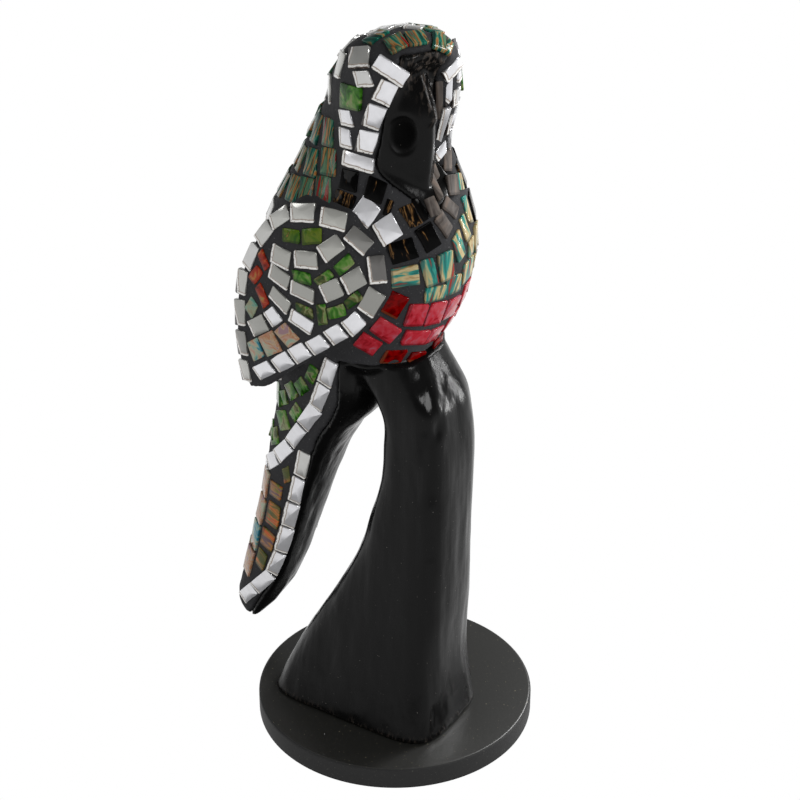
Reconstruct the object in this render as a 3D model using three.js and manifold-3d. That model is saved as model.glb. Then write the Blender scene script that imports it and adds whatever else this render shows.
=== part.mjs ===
// Carved wooden parrot with a mosaic coat, standing on a round base board.
// Units are millimetres. +Z is up, the bird faces -Y and its left side is +X.
// The origin is the centre of the base board's underside.

import * as THREE from 'three';
import { mergeVertices } from 'three/addons/utils/BufferGeometryUtils.js';
import Module from 'manifold-3d';

const wasm = await Module();
wasm.setup();

// Driving dimensions

const BASE_DIAMETER = 140;
const BASE_THICKNESS = 12;
const BASE_EDGE_ROUND = 1.5;
const FIGURE_HEIGHT = 360;      // from the top of the board to the crown
const TILE_THICKNESS = 1.8;     // hand-cut glass and mirror
const GROUT_BED = 1.0;          // bed under the tiles
const GROUT_GAP = 1.2;          // joint between two tiles of a course
const GROUT_RECESS = 0.9;       // how far the joints lie below the tile faces
const SEAT_CLEARANCE = 0.3;     // air between pieces that touch
const CARVING_PLAY = 0.75;      // spare depth under the bed, where the carving is uneven
const TAIL_PLAY = 0.5;          // more of it under the tail, which curves tightly
const WING_THICKNESS = 8;
const WING_ROOT = 11;           // how much deeper its upper part runs into the body
const HEAD_TURN = 28;           // degrees, towards the bird's right

// The free form keeps its proportions as 360ths of the figure's height.
const share = FIGURE_HEIGHT / 360;
const coat = TILE_THICKNESS + GROUT_BED + SEAT_CLEARANCE + CARVING_PLAY;

// Profiles of the carving. Each column is one level, given by its height above
// the board, the middle of its section and the half-sizes of that section.

const TRUNK = {
  height: [206, 220, 238, 256, 274, 290, 304, 318, 332, 344],
  middleX: [0, 0, 0, 0, 0, 0, 0, 0, 0, -2],
  middleY: [5, 7, 9, 9, 8, 5, 2.5, -1, -2, -3],
  side: [31, 36.5, 40, 39.5, 36, 30.5, 26.5, 26, 27.5, 25.5],
  front: [26.5, 35.5, 43.5, 46, 42, 34, 26.5, 25.8, 27, 26],
  back: [44, 52, 56.5, 55.5, 48.5, 43.5, 42.5, 41, 35, 24.5],
  turn: [0, 0, 0, 0, 0, 0.21, 0.57, 0.89, 1, 1],
};
const TRUNK_SQUARENESS = 2.25;
const CROWN = { rise: 15.5, arc: 27, lean: 10 };
const BELLY = { drop: 20, arc: 27 };
const FACE_HOLLOW = { depth: 0.36, halfAngle: 42, level: 326, halfHeight: 38 };

const POST = {
  height: [0, 33, 68, 93, 113, 133, 153, 168, 180, 192, 208],
  middleX: [-5, -1.5, 0, 0, 0, 0, 0, 0, 0, 0, 0],
  middleY: [5.5, 1, -8.4, -14.2, -17.5, -20.5, -21.3, -20.5, -16.5, -8, 1],
  side: [36.5, 31, 27, 25, 24, 23.5, 23.5, 24, 24.5, 25, 25],
  front: [48.5, 39, 30, 24.6, 21.8, 19.2, 18.3, 17.4, 19.2, 21, 21],
  squareness: [3.6, 3.3, 3.1, 2.9, 2.8, 2.8, 2.8, 2.7, 2.6, 2.4, 2.2],
};
const POST_SKEW = 0.09;         // the post is a little deeper on the bird's right
const POST_CORNER_SKEW = 0.33;  // and its corners are sharper there

const TAIL = {
  height: [12, 22, 36, 53, 73, 93, 113, 133, 148, 160, 172, 190, 212, 236],
  inner: [85, 76, 67.5, 59.5, 52.5, 45.8, 38.8, 30.5, 21.5, 11, 4, 2, 2, 6],
  outer: [95, 97, 94, 88.8, 83, 78, 74, 70.3, 66.8, 64.8, 63.2, 62.5, 62, 58],
  side: [5, 10, 13.5, 15, 16, 17, 18, 19, 21, 23.5, 27, 30, 30, 24],
};
const TAIL_WIDEST = 0.32;       // where between its inner and outer face

const BEAK = {
  height: [281, 285, 292, 302, 316, 328, 339, 349],
  reach: [26, 28.5, 31, 32.5, 32.5, 31, 27, 18],
  side: [1.5, 5, 8.5, 11, 12, 10.5, 7, 3],
};
const BEAK_ROOT = 14;           // forward of the neck's axis
const BEAK_AXIS_Y = -2;
const HOLLOW = { forward: 20, across: 12, level: 315, radii: [3.5, 5, 8] };

// The wing's face bulges about this point and falls off towards its rim.
const WING = { y: 14, level: 240, x: 46, foreFall: 17, rearFall: 5, upFall: 12, downFall: 5 };
const WING_REACH = { y: 46, height: 60 };
const WING_HEART = [22, 236];
const WING_FREE_BELOW = [186, 232];  // between these levels the tip grows out of the body
const WING_RIM = [
  [62, 173], [67, 184], [66, 205], [63, 225], [57, 243], [50, 258], [40, 273], [28, 282],
  [14, 284], [0, 282], [-13, 272], [-20, 259], [-20, 245], [-12, 231], [4, 217], [27, 199], [51, 178],
];

// Small helpers

const radians = THREE.MathUtils.degToRad;
const power = (value, exponent) => Math.sign(value) * Math.abs(value) ** exponent;

// Smooth reading of a profile between its levels: a cubic through the levels
// whose slopes are those of the parabola through three neighbours.
function at(profile, key, level) {
  const x = profile.height;
  const y = profile[key];
  const last = x.length - 1;
  const h = THREE.MathUtils.clamp(level, x[0], x[last]);
  let i = 0;
  while (i < last - 1 && h > x[i + 1]) i++;
  const rise = (k) => (y[k + 1] - y[k]) / (x[k + 1] - x[k]);
  const slope = (k) => {
    if (k === 0) return rise(0);
    if (k === last) return rise(last - 1);
    const before = x[k] - x[k - 1];
    const after = x[k + 1] - x[k];
    return (rise(k - 1) * after + rise(k) * before) / (before + after);
  };
  const step = x[i + 1] - x[i];
  const t = (h - x[i]) / step;
  return (2 * t ** 3 - 3 * t ** 2 + 1) * y[i] + (t ** 3 - 2 * t ** 2 + t) * step * slope(i)
    + (3 * t ** 2 - 2 * t ** 3) * y[i + 1] + (t ** 3 - t ** 2) * step * slope(i + 1);
}

const place = (x, y, level) => new THREE.Vector3(
  share * x, share * y, BASE_THICKNESS + SEAT_CLEARANCE + share * level);

// Forms: each gives the outer surface at an angle (0 in front, positive towards
// the bird's left) and a level above the board.

function trunk(angle, level) {
  const u = radians(angle);
  const low = TRUNK.height[0];
  const high = TRUNK.height.at(-1);
  const up = THREE.MathUtils.clamp((level - high) / CROWN.arc, 0, Math.PI / 2);
  const down = THREE.MathUtils.clamp((low - level) / BELLY.arc, 0, Math.PI / 2);
  const size = Math.cos(up) * Math.cos(down);
  const rise = CROWN.rise * Math.sin(up) - BELLY.drop * Math.sin(down);
  const c = power(Math.cos(u), 2 / TRUNK_SQUARENESS);
  const wrapped = Math.abs(THREE.MathUtils.euclideanModulo(angle + 180, 360) - 180);
  const fade = (value, half) => Math.cos(Math.min(Math.abs(value) / half, 1) * Math.PI / 2);
  const hollow = FACE_HOLLOW.depth * fade(wrapped, FACE_HOLLOW.halfAngle) ** 2
    * fade(level - FACE_HOLLOW.level, FACE_HOLLOW.halfHeight);
  const reach = size * (1 - hollow);
  const x = reach * at(TRUNK, 'side', level) * power(Math.sin(u), 2 / TRUNK_SQUARENESS);
  const y = -reach * c * at(TRUNK, c > 0 ? 'front' : 'back', level);
  const turn = radians(HEAD_TURN * at(TRUNK, 'turn', level));
  const lean = CROWN.lean * Math.sin(up);
  return place(
    at(TRUNK, 'middleX', level) + x * Math.cos(turn) + (y - lean) * Math.sin(turn),
    at(TRUNK, 'middleY', level) - x * Math.sin(turn) + (y - lean) * Math.cos(turn),
    THREE.MathUtils.clamp(level, low, high) + rise);
}

function post(angle, level) {
  const u = radians(angle);
  const depth = at(POST, 'front', level) * (1 - POST_SKEW * Math.sin(u));
  const exponent = 2 / (at(POST, 'squareness', level) * (1 - POST_CORNER_SKEW * Math.sin(u)));
  return place(
    at(POST, 'middleX', level) + at(POST, 'side', level) * power(Math.sin(u), exponent),
    at(POST, 'middleY', level) - depth * power(Math.cos(u), exponent),
    level);
}

function tail(angle, level) {
  const u = radians(angle);
  const inner = at(TAIL, 'inner', level);
  const depth = at(TAIL, 'outer', level) - inner;
  const c = Math.cos(u);
  const inward = TAIL_WIDEST * depth * power(c, 0.55);
  const outward = (1 - TAIL_WIDEST) * depth * c;
  return place(
    at(TAIL, 'side', level) * power(Math.sin(u), 0.8),
    inner + TAIL_WIDEST * depth - (c > 0 ? inward : outward),
    level);
}

function beak(angle, level) {
  const u = radians(angle);
  const c = Math.cos(u);
  const forward = BEAK_ROOT + c * (c > 0 ? at(BEAK, 'reach', level) - BEAK_ROOT : BEAK_ROOT / 2);
  const across = at(BEAK, 'side', level) * power(Math.sin(u), 1.25);
  return facing(across, forward, level);
}

// A place in the turned head, by how far it is to the left and forward.
function facing(across, forward, level) {
  const turn = radians(HEAD_TURN);
  return place(
    across * Math.cos(turn) - forward * Math.sin(turn),
    BEAK_AXIS_Y - across * Math.sin(turn) - forward * Math.cos(turn),
    level);
}

// The face of the bird's right wing (side -1) or left wing (side 1).
const wing = (side) => (y, level) => {
  const dy = (y - WING.y) / WING_REACH.y;
  const dz = (level - WING.level) / WING_REACH.height;
  const fall = (dy < 0 ? WING.foreFall : WING.rearFall) * dy ** 2
    + (dz > 0 ? WING.upFall : WING.downFall) * dz ** 2;
  return place(side * (WING.x - fall), y, level);
};

// Outward normal of a form, from two small steps over its surface.
function normal(form, p, q, flip = 1) {
  const step = 0.5;
  const alongP = form(p + step, q).sub(form(p - step, q));
  const alongQ = form(p, q + step).sub(form(p, q - step));
  return alongP.cross(alongQ).multiplyScalar(flip).normalize();
}

// Solids

// Closed skin over rings of equal length, each end closed by a fan.
function skin(rings) {
  const count = rings[0].length;
  const points = rings.flat();
  const index = [];
  for (let r = 0; r < rings.length - 1; r++) {
    for (let k = 0; k < count; k++) {
      const a = r * count + k;
      const b = r * count + (k + 1) % count;
      index.push(a, b, b + count, a, b + count, a + count);
    }
  }
  for (const [r, turned] of [[0, true], [rings.length - 1, false]]) {
    for (let k = 1; k < count - 1; k++) {
      const fan = [r * count, r * count + k, r * count + k + 1];
      index.push(...(turned ? fan.reverse() : fan));
    }
  }
  const geometry = new THREE.BufferGeometry().setFromPoints(points);
  geometry.setIndex(index);
  return geometry;
}

function toSolid(geometry) {
  const bare = geometry.clone();
  bare.deleteAttribute('normal');
  bare.deleteAttribute('uv');
  const merged = mergeVertices(bare);
  return new wasm.Manifold(new wasm.Mesh({
    numProp: 3,
    vertProperties: new Float32Array(merged.attributes.position.array),
    triVerts: new Uint32Array(merged.index.array),
  }));
}

function toGeometry(solid) {
  const { vertProperties, triVerts } = solid.getMesh();
  const geometry = new THREE.BufferGeometry();
  geometry.setAttribute('position', new THREE.BufferAttribute(new Float32Array(vertProperties), 3));
  geometry.setIndex(new THREE.BufferAttribute(new Uint32Array(triVerts), 1));
  return geometry;
}

// A form cut into level rings, drawn inwards by the coat where tiles cover it.
function loft(form, levels, sides, drawnIn = () => 0) {
  return toSolid(skin(levels.map((level) => Array.from({ length: sides }, (_, k) => {
    const angle = k * 360 / sides + 0.01;
    const depth = drawnIn(angle, level);
    return form(angle, level).addScaledVector(normal(form, angle, level), -depth);
  }))));
}

const evenly = (from, to, steps) =>
  Array.from({ length: steps + 1 }, (_, k) => THREE.MathUtils.lerp(from, to, k / steps));

function wingSolid(side) {
  const face = wing(side);
  const outline = new THREE.CatmullRomCurve3(
    WING_RIM.map(([y, level]) => new THREE.Vector3(y, level, 0)), true).getPoints(34).slice(0, -1);
  const ring = (size, depth) => outline.map((p) => {
    const y = THREE.MathUtils.lerp(WING_HEART[0], p.x, size);
    const level = THREE.MathUtils.lerp(WING_HEART[1], p.y, size);
    const rooted = depth > coat + 2 ? WING_ROOT * THREE.MathUtils.smoothstep(level, ...WING_FREE_BELOW) : 0;
    return face(y, level).add(new THREE.Vector3(-side * (depth + rooted), 0, 0));
  });
  const rings = [
    ring(0.12, coat), ring(0.6, coat), ring(0.95, coat), ring(1, coat + 1.5),
    ring(1, coat + WING_THICKNESS - 2), ring(0.94, coat + WING_THICKNESS),
    ring(0.6, coat + 2 * WING_THICKNESS), ring(0.12, coat + 2 * WING_THICKNESS),
  ];
  return toSolid(skin(side > 0 ? rings.reverse() : rings));
}

function hollowSolid(side) {
  const [across, along, tall] = HOLLOW.radii;
  const ball = new THREE.SphereGeometry(1, 10, 8);
  ball.scale(share * across, share * along, share * tall);
  ball.rotateZ(radians(-HEAD_TURN));
  const centre = facing(side * HOLLOW.across, HOLLOW.forward, HOLLOW.level);
  ball.translate(centre.x, centre.y, centre.z);
  return toSolid(ball);
}

// Mosaic courses

// A course is a row of flat tiles on a thin bed. Its path joins the middles of
// the first and last tile, in the coordinates of the form that it lies on.
function course(form, flip, { path, tiles, width }) {
  const line = path.length > 2
    ? new THREE.CatmullRomCurve3(path.map(([p, q]) => new THREE.Vector3(p, q, 0)))
    : new THREE.LineCurve3(...path.map(([p, q]) => new THREE.Vector3(p, q, 0)));
  const fine = 40 * path.length;
  const samples = evenly(0, 1, fine).map((t) => line.getPoint(t));
  const lengths = [0];
  for (let k = 1; k <= fine; k++) {
    const here = form(samples[k].x, samples[k].y);
    const there = form(samples[k - 1].x, samples[k - 1].y);
    lengths.push(lengths[k - 1] + here.distanceTo(there));
  }
  const total = lengths[fine];
  const pitch = tiles > 1 ? total / (tiles - 1) : total;
  const start = tiles > 1 ? -pitch / 2 : 0;
  const locate = (s) => {
    let k = 0;
    while (k < fine - 1 && lengths[k + 1] < s) k++;
    const t = (s - lengths[k]) / (lengths[k + 1] - lengths[k]);
    return new THREE.Vector3().lerpVectors(samples[k], samples[k + 1], t);
  };
  const section = (s, sunk) => {
    const [before, here, after] = [s - 0.5, s, s + 0.5].map(locate);
    const out = normal(form, here.x, here.y, flip);
    const along = form(after.x, after.y).sub(form(before.x, before.y)).normalize();
    const across = out.clone().cross(along).normalize();
    const centre = form(here.x, here.y);
    const corner = (sideways, depth) => centre.clone()
      .addScaledVector(across, sideways * share * width / 2).addScaledVector(out, -depth);
    const bottom = TILE_THICKNESS + GROUT_BED;
    return [corner(-1, bottom), corner(1, bottom), corner(1, sunk), corner(-1, sunk)];
  };
  const rings = [];
  for (let k = 0; k < tiles; k++) {
    const first = start + k * pitch;
    rings.push(section(first + GROUT_GAP / 2, 0), section(first + pitch - GROUT_GAP / 2, 0));
    if (k < tiles - 1) rings.push(section(first + pitch, GROUT_RECESS));
  }
  return skin(rings);
}

// The same path seen in a mirror behind the tail, neck or crown: right side,
// over the back and down the left side.
const overTheBack = (path) => [...path, ...path.slice().reverse().map(([u, h]) => [-360 - u, h])];
// The same across the front.
const acrossTheFront = (path) => [...path, ...path.slice().reverse().map(([u, h]) => [-u, h])];
const toTheLeft = (path) => path.map(([u, h]) => [-u, h]);

const MIRROR = { color: 0xd4d4d2, roughness: 0.08, metalness: 1 };
const GREEN = { color: 0x4c8a26, roughness: 0.15, metalness: 0 };
const RED = { color: 0xa81826, roughness: 0.15, metalness: 0 };
const ORANGE = { color: 0xc05a20, roughness: 0.2, metalness: 0 };
const PASTEL = { color: 0xc8947a, roughness: 0.2, metalness: 0 };
const TURQUOISE = { color: 0x4f9c8c, roughness: 0.2, metalness: 0 };
const BRONZE = { color: 0x241a10, roughness: 0.15, metalness: 0 };
const BLACK_LACQUER = { color: 0x0b0b0c, roughness: 0.28, metalness: 0 };
const BLACK_SATIN = { color: 0x232422, roughness: 0.5, metalness: 0 };

// Courses of one wing, by distance behind the neck's axis and level.
const WING_COURSES = [
  { name: 'border', finish: MIRROR, tiles: 18, width: 8, path: [
    [62, 183], [61.5, 200], [60, 217], [57, 234], [51, 249], [43, 263], [34, 272], [21, 277.5],
    [6, 277.5], [-6.5, 271], [-14, 258], [-12.5, 242], [-5.5, 230.5], [13, 215], [35.5, 198], [49, 187]] },
  { name: 'upper_green', finish: GREEN, tiles: 2, width: 6, path: [[27.8, 265.3], [17, 268.2]] },
  { name: 'upper_mirror', finish: MIRROR, tiles: 3, width: 8.5, path: [[32.5, 255.5], [19.5, 256.5], [6.5, 264]] },
  { name: 'middle_green', finish: GREEN, tiles: 3, width: 5.5, path: [[20.7, 249], [9, 251.5], [-1, 259]] },
  { name: 'middle_mirror', finish: MIRROR, tiles: 4, width: 7.5, path: [
    [33.5, 243.5], [21, 240], [6, 244.5], [-3, 250.5]] },
  { name: 'lower_green', finish: GREEN, tiles: 4, width: 6.5, path: [[20, 231.5], [9.5, 231.5], [-1.5, 239.5]] },
  { name: 'lower_mirror', finish: MIRROR, tiles: 2, width: 7, path: [[33.5, 230.5], [23.5, 222.5]] },
  { name: 'tip_mirror', finish: MIRROR, tiles: 2, width: 7.5, path: [[49, 213], [40, 221.5]] },
  { name: 'rear_red', finish: ORANGE, tiles: 3, width: 5, path: [[43, 247], [46, 239], [44.5, 230.5]] },
  { name: 'tip_pastel', finish: PASTEL, tiles: 3, width: 9, path: [[50.3, 199], [41.5, 206], [31, 214.5]] },
];

// Courses that run round the tail, by angle and level.
const TAIL_UPPER = [[-92, 187], [-94, 173], [-91, 158], [-92, 143], [-104, 131], [-124, 120], [-165, 111]];
const TAIL_LOWER = [[-70, 125], [-64, 107], [-63, 88], [-65, 73], [-70, 58], [-86, 44], [-122, 31]];
const TAIL_COURSES = [
  { name: 'tail_upper_mirror', finish: MIRROR, tiles: 15, width: 7, path: overTheBack(TAIL_UPPER) },
  { name: 'tail_right_mirror', finish: MIRROR, tiles: 7, width: 7, path: TAIL_LOWER },
  { name: 'tail_left_mirror', finish: MIRROR, tiles: 7, width: 7, path: toTheLeft(TAIL_LOWER) },
  { name: 'tail_upper_green', finish: GREEN, tiles: 7, width: 11,
    path: overTheBack([[-118, 178], [-135, 168], [-165, 162]]) },
  { name: 'tail_lower_green', finish: GREEN, tiles: 6, width: 9,
    path: overTheBack([[-119, 152], [-136, 146], [-165, 140]]) },
  { name: 'tail_right_amber', finish: ORANGE, tiles: 5, width: 6.5,
    path: [[-104, 111], [-104, 101], [-103, 88], [-104, 73], [-110, 59]] },
  { name: 'tail_left_amber', finish: ORANGE, tiles: 5, width: 6.5,
    path: toTheLeft([[-104, 111], [-104, 101], [-103, 88], [-104, 73], [-110, 59]]) },
  { name: 'tail_back_pastel', finish: PASTEL, tiles: 4, width: 10, path: [[180, 93], [180, 50]] },
];

// Courses on the head, neck and body.
const CHEEK_RIM = [[-39, 348], [-42, 338], [-52, 326], [-64, 313], [-74, 303]];
const TRUNK_COURSES = [
  { name: 'brow_band', finish: TURQUOISE, tiles: 4, width: 9, path: [[-56, 368], [-8, 370], [42, 366]] },
  { name: 'crown_band', finish: TURQUOISE, tiles: 5, width: 10, path: overTheBack([[-108, 368.5], [-150, 366]]) },
  { name: 'right_cheek_rim', finish: MIRROR, tiles: 5, width: 10, path: CHEEK_RIM },
  { name: 'left_cheek_rim', finish: MIRROR, tiles: 5, width: 8, path: [[38, 346], [37, 337], [36, 313], [36, 304]] },
  { name: 'right_cheek_back', finish: MIRROR, tiles: 3, width: 8.5, path: [[-88, 350.5], [-105, 341], [-117, 325]] },
  { name: 'left_cheek_back', finish: MIRROR, tiles: 4, width: 9, path: [[70, 349.5], [82, 340], [95, 324]] },
  { name: 'right_eye', finish: GREEN, tiles: 1, width: 11, path: [[-70, 331], [-94, 331]] },
  { name: 'left_eye', finish: GREEN, tiles: 1, width: 10, path: [[49, 326], [71, 326]] },
  { name: 'right_jowl', finish: MIRROR, tiles: 2, width: 8.5, path: [[-89, 319.5], [-91, 311]] },
  { name: 'left_jowl', finish: MIRROR, tiles: 2, width: 9, path: [[67, 315], [67, 306]] },
  { name: 'nape_upper', finish: MIRROR, tiles: 5, width: 9, path: [[-145, 346], [-240, 346]] },
  { name: 'nape_middle', finish: TURQUOISE, tiles: 5, width: 9, path: [[-146, 333], [-242, 333]] },
  { name: 'nape_lower', finish: MIRROR, tiles: 5, width: 9, path: [[-146, 320], [-242, 320]] },
  { name: 'neck_upper', finish: TURQUOISE, tiles: 9, width: 9, path: overTheBack([[-108, 307], [-145, 304]]) },
  { name: 'neck_middle', finish: TURQUOISE, tiles: 10, width: 9, path: overTheBack([[-104, 297], [-130, 293]]) },
  { name: 'throat_black', finish: BRONZE, tiles: 8, width: 8, path: [[-78, 287.5], [-40, 279.5], [20, 278], [80, 289]] },
  { name: 'bib_black', finish: BRONZE, tiles: 7, width: 8.5, path: [[-47, 271], [0, 266], [47, 271]] },
  { name: 'breast_turquoise', finish: TURQUOISE, tiles: 7, width: 9.5, path: [[-41.5, 257], [0, 253.5], [41.5, 257]] },
  { name: 'belly_red_upper', finish: RED, tiles: 6, width: 10, path: acrossTheFront([[-40.5, 241], [-20, 240]]) },
  { name: 'belly_red_middle', finish: RED, tiles: 6, width: 10, path: acrossTheFront([[-48, 227], [-24, 226]]) },
  { name: 'right_belly_red', finish: RED, tiles: 2, width: 8, path: [[-70, 214], [-50, 213]] },
  { name: 'left_belly_red', finish: RED, tiles: 2, width: 8, path: [[70, 214], [50, 213]] },
  { name: 'back_mirror', finish: MIRROR, tiles: 4, width: 9, path: overTheBack([[-158, 269], [-170, 268]]) },
  { name: 'back_green', finish: GREEN, tiles: 3, width: 9, path: overTheBack([[-163, 253], [-170, 253]]) },
  { name: 'rump_mirror', finish: MIRROR, tiles: 3, width: 9, path: overTheBack([[-163, 238], [-170, 238]]) },
];

// Assembly

const figure = new THREE.Group();

function add(name, geometry, finish) {
  const piece = new THREE.Mesh(geometry, new THREE.MeshStandardMaterial(finish));
  piece.name = name;
  figure.add(piece);
}

function baseBoard() {
  const radius = BASE_DIAMETER / 2;
  const corner = (middleHeight, from) => evenly(from, from + 90, 2).map((angle) => new THREE.Vector2(
    radius - BASE_EDGE_ROUND + BASE_EDGE_ROUND * Math.cos(radians(angle)),
    middleHeight + BASE_EDGE_ROUND * Math.sin(radians(angle))));
  const outline = [
    new THREE.Vector2(0, 0),
    ...corner(BASE_EDGE_ROUND, -90),
    ...corner(BASE_THICKNESS - BASE_EDGE_ROUND, 0),
    new THREE.Vector2(0, BASE_THICKNESS),
  ];
  return new THREE.LatheGeometry(outline, 48).rotateX(Math.PI / 2);
}

function carvedBird() {
  const body = loft(trunk, [
    ...evenly(TRUNK.height[0] - BELLY.arc * 1.5, TRUNK.height[0], 3).slice(0, -1),
    ...TRUNK.height,
    ...evenly(TRUNK.height.at(-1), TRUNK.height.at(-1) + CROWN.arc * 1.5, 4).slice(1),
  ], 24, () => coat);
  const tiledSide = (angle) => (coat + TAIL_PLAY) * THREE.MathUtils.smoothstep(-Math.cos(radians(angle)), -0.92, -0.66);
  return [
    loft(post, evenly(POST.height[0], POST.height.at(-1), 14), 20),
    loft(tail, TAIL.height, 20, tiledSide),
    loft(beak, BEAK.height, 12),
    wingSolid(-1),
    wingSolid(1),
  ].reduce((whole, part) => whole.add(part), body)
    .subtract(hollowSolid(-1)).subtract(hollowSolid(1));
}

add('base_board', baseBoard(), BLACK_SATIN);
add('carved_bird', toGeometry(carvedBird()), BLACK_LACQUER);

for (const [sideName, side] of [['right', -1], ['left', 1]]) {
  for (const row of WING_COURSES) {
    add(`${sideName}_wing_${row.name}`, course(wing(side), side, row), row.finish);
  }
}
for (const row of TAIL_COURSES) add(row.name, course(tail, 1, row), row.finish);
for (const row of TRUNK_COURSES) add(row.name, course(trunk, 1, row), row.finish);

export default figure;
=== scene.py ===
# %% [markdown]
# # A mosaic parrot
#
# The object is a parrot carved from one piece of light wood, with a curved post
# under it and a round board under the post. The wood is lacquered black, and
# the bird is coated with hand-cut tiles of mirror and coloured glass, set in
# charcoal grout. The CAD frame gives every size and place. This notebook makes
# the fine surfaces: the carving, the grout and each single tile.

# %% Load the fixed frame
import bpy
import numpy as np
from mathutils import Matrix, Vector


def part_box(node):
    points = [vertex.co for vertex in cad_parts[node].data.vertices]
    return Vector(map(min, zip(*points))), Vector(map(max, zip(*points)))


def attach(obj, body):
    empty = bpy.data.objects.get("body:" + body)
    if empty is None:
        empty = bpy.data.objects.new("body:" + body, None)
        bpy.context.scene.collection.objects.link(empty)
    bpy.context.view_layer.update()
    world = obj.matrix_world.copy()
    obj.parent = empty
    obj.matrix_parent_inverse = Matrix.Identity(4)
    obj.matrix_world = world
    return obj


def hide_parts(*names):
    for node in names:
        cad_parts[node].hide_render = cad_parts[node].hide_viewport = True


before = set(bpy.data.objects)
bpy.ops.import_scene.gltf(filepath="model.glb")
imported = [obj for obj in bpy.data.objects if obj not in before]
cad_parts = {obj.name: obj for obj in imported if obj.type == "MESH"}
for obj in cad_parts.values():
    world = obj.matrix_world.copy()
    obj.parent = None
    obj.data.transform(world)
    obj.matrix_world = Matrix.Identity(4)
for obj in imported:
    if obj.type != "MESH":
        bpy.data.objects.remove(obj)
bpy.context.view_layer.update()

# %% [markdown]
# ## The profiles of the carving
#
# A carver works from a front and a side drawing. The tables below are those
# drawings: each column is one level, in millimetres above the board, with the
# middle of the section and its half-sizes. They are the values of the
# construction model, so the fine surface falls where the solid is. The beak
# alone is carved a little flatter than in the model, as the photo shows it.

# %% Profiles of body, post, tail and beak, in millimetres
MM = 0.001
SEAT = 0.3                      # air between the board and the carving
BOARD_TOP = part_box("base_board")[1][2] / MM + SEAT
BOARD_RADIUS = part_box("base_board")[1][0] / MM
HEAD_TURN = np.radians(28)

TRUNK = {
    "height": [206, 220, 238, 256, 274, 290, 304, 318, 332, 344],
    "middle_x": [0, 0, 0, 0, 0, 0, 0, 0, 0, -2],
    "middle_y": [5, 7, 9, 9, 8, 5, 2.5, -1, -2, -3],
    "side": [31, 36.5, 40, 39.5, 36, 30.5, 26.5, 26, 27.5, 25.5],
    "front": [26.5, 35.5, 43.5, 46, 42, 34, 26.5, 25.8, 27, 26],
    "back": [44, 52, 56.5, 55.5, 48.5, 43.5, 42.5, 41, 35, 24.5],
    "turn": [0, 0, 0, 0, 0, 0.21, 0.57, 0.89, 1, 1],
}
POST = {
    "height": [0, 33, 68, 93, 113, 133, 153, 168, 180, 192, 208],
    "middle_x": [-5, -1.5, 0, 0, 0, 0, 0, 0, 0, 0, 0],
    "middle_y": [5.5, 1, -8.4, -14.2, -17.5, -20.5, -21.3, -20.5, -16.5, -8, 1],
    "side": [36.5, 31, 27, 25, 24, 23.5, 23.5, 24, 24.5, 25, 25],
    "front": [48.5, 39, 30, 24.6, 21.8, 19.2, 18.3, 17.4, 19.2, 21, 21],
    "squareness": [3.6, 3.3, 3.1, 2.9, 2.8, 2.8, 2.8, 2.7, 2.6, 2.4, 2.2],
}
TAIL = {
    "height": [12, 22, 36, 53, 73, 93, 113, 133, 148, 160, 172, 190, 212, 236],
    "inner": [85, 76, 67.5, 59.5, 52.5, 45.8, 38.8, 30.5, 21.5, 11, 4, 2, 2, 6],
    "outer": [95, 97, 94, 88.8, 83, 78, 74, 70.3, 66.8, 64.8, 63.2, 62.5, 62, 58],
    "side": [5, 10, 13.5, 15, 16, 17, 18, 19, 21, 23.5, 27, 30, 30, 24],
}
BEAK = {
    "height": [281, 285, 292, 302, 316, 328, 339, 349],
    "reach": [26, 26.5, 27.8, 29.2, 30.6, 29.8, 23.5, 17],
    "side": [2, 5, 8, 9.5, 9.5, 9, 7, 3],
}
print("levels in the tables:", *(len(p["height"]) for p in (TRUNK, POST, TAIL, BEAK)))


def read(profile, key, level):
    """The profile's value at a level: a cubic through its columns. The slope at
    a column is that of the parabola through it and its two neighbours."""
    x = np.asarray(profile["height"], float)
    y = np.asarray(profile[key], float)
    step = np.diff(x)
    rise = np.diff(y) / step
    slope = np.empty_like(y)
    slope[1:-1] = (rise[:-1] * step[1:] + rise[1:] * step[:-1]) / (x[2:] - x[:-2])
    slope[0], slope[-1] = rise[0], rise[-1]
    h = np.clip(level, x[0], x[-1])
    i = np.clip(np.searchsorted(x, h, side="right") - 1, 0, len(x) - 2)
    w = step[i]
    t = (h - x[i]) / w
    return ((2*t**3 - 3*t**2 + 1) * y[i] + (t**3 - 2*t**2 + t) * w * slope[i]
            + (3*t**2 - 2*t**3) * y[i + 1] + (t**3 - t**2) * w * slope[i + 1])


# %% [markdown]
# ## Forms as functions of two numbers
#
# A carved body has no seams, so each part of it is one smooth surface: an angle
# round it and a level up it give a point. The section is a superellipse, which
# is an ellipse that can be made squarer with one number. The same functions
# serve three times: for the wood, for the grout over it and for laying tiles.

# %% The surfaces of body, post, tail, beak and wings
SQUARE_BODY = 2.25
CROWN_RISE, CROWN_ARC, CROWN_LEAN = 15.5, 27.0, 10.0
BELLY_DROP, BELLY_ARC = 20.0, 27.0
FACE = {"depth": 0.36, "half_angle": 42, "level": 326, "half_height": 38}
POST_SKEW, CORNER_SKEW = 0.09, 0.33         # deeper and sharper on the bird's right
TAIL_WIDEST = 0.32                          # share of the depth where the tail is widest
BEAK_BASE = {"right": 17.0, "left": 14.0}   # where the beak grows out of the face
BEAK_ROOT, RIGHT_FLAT = 7, 2.1
WING = {"reach": 46, "middle": (14, 240), "half": (46, 60), "fall_front": 17, "fall_rear": 5,
        "fall_up": 12, "fall_down": 5}


def together(*values):
    """One array of xyz points from three arrays of any matching shapes."""
    return np.stack(np.broadcast_arrays(*values), -1)


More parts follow.
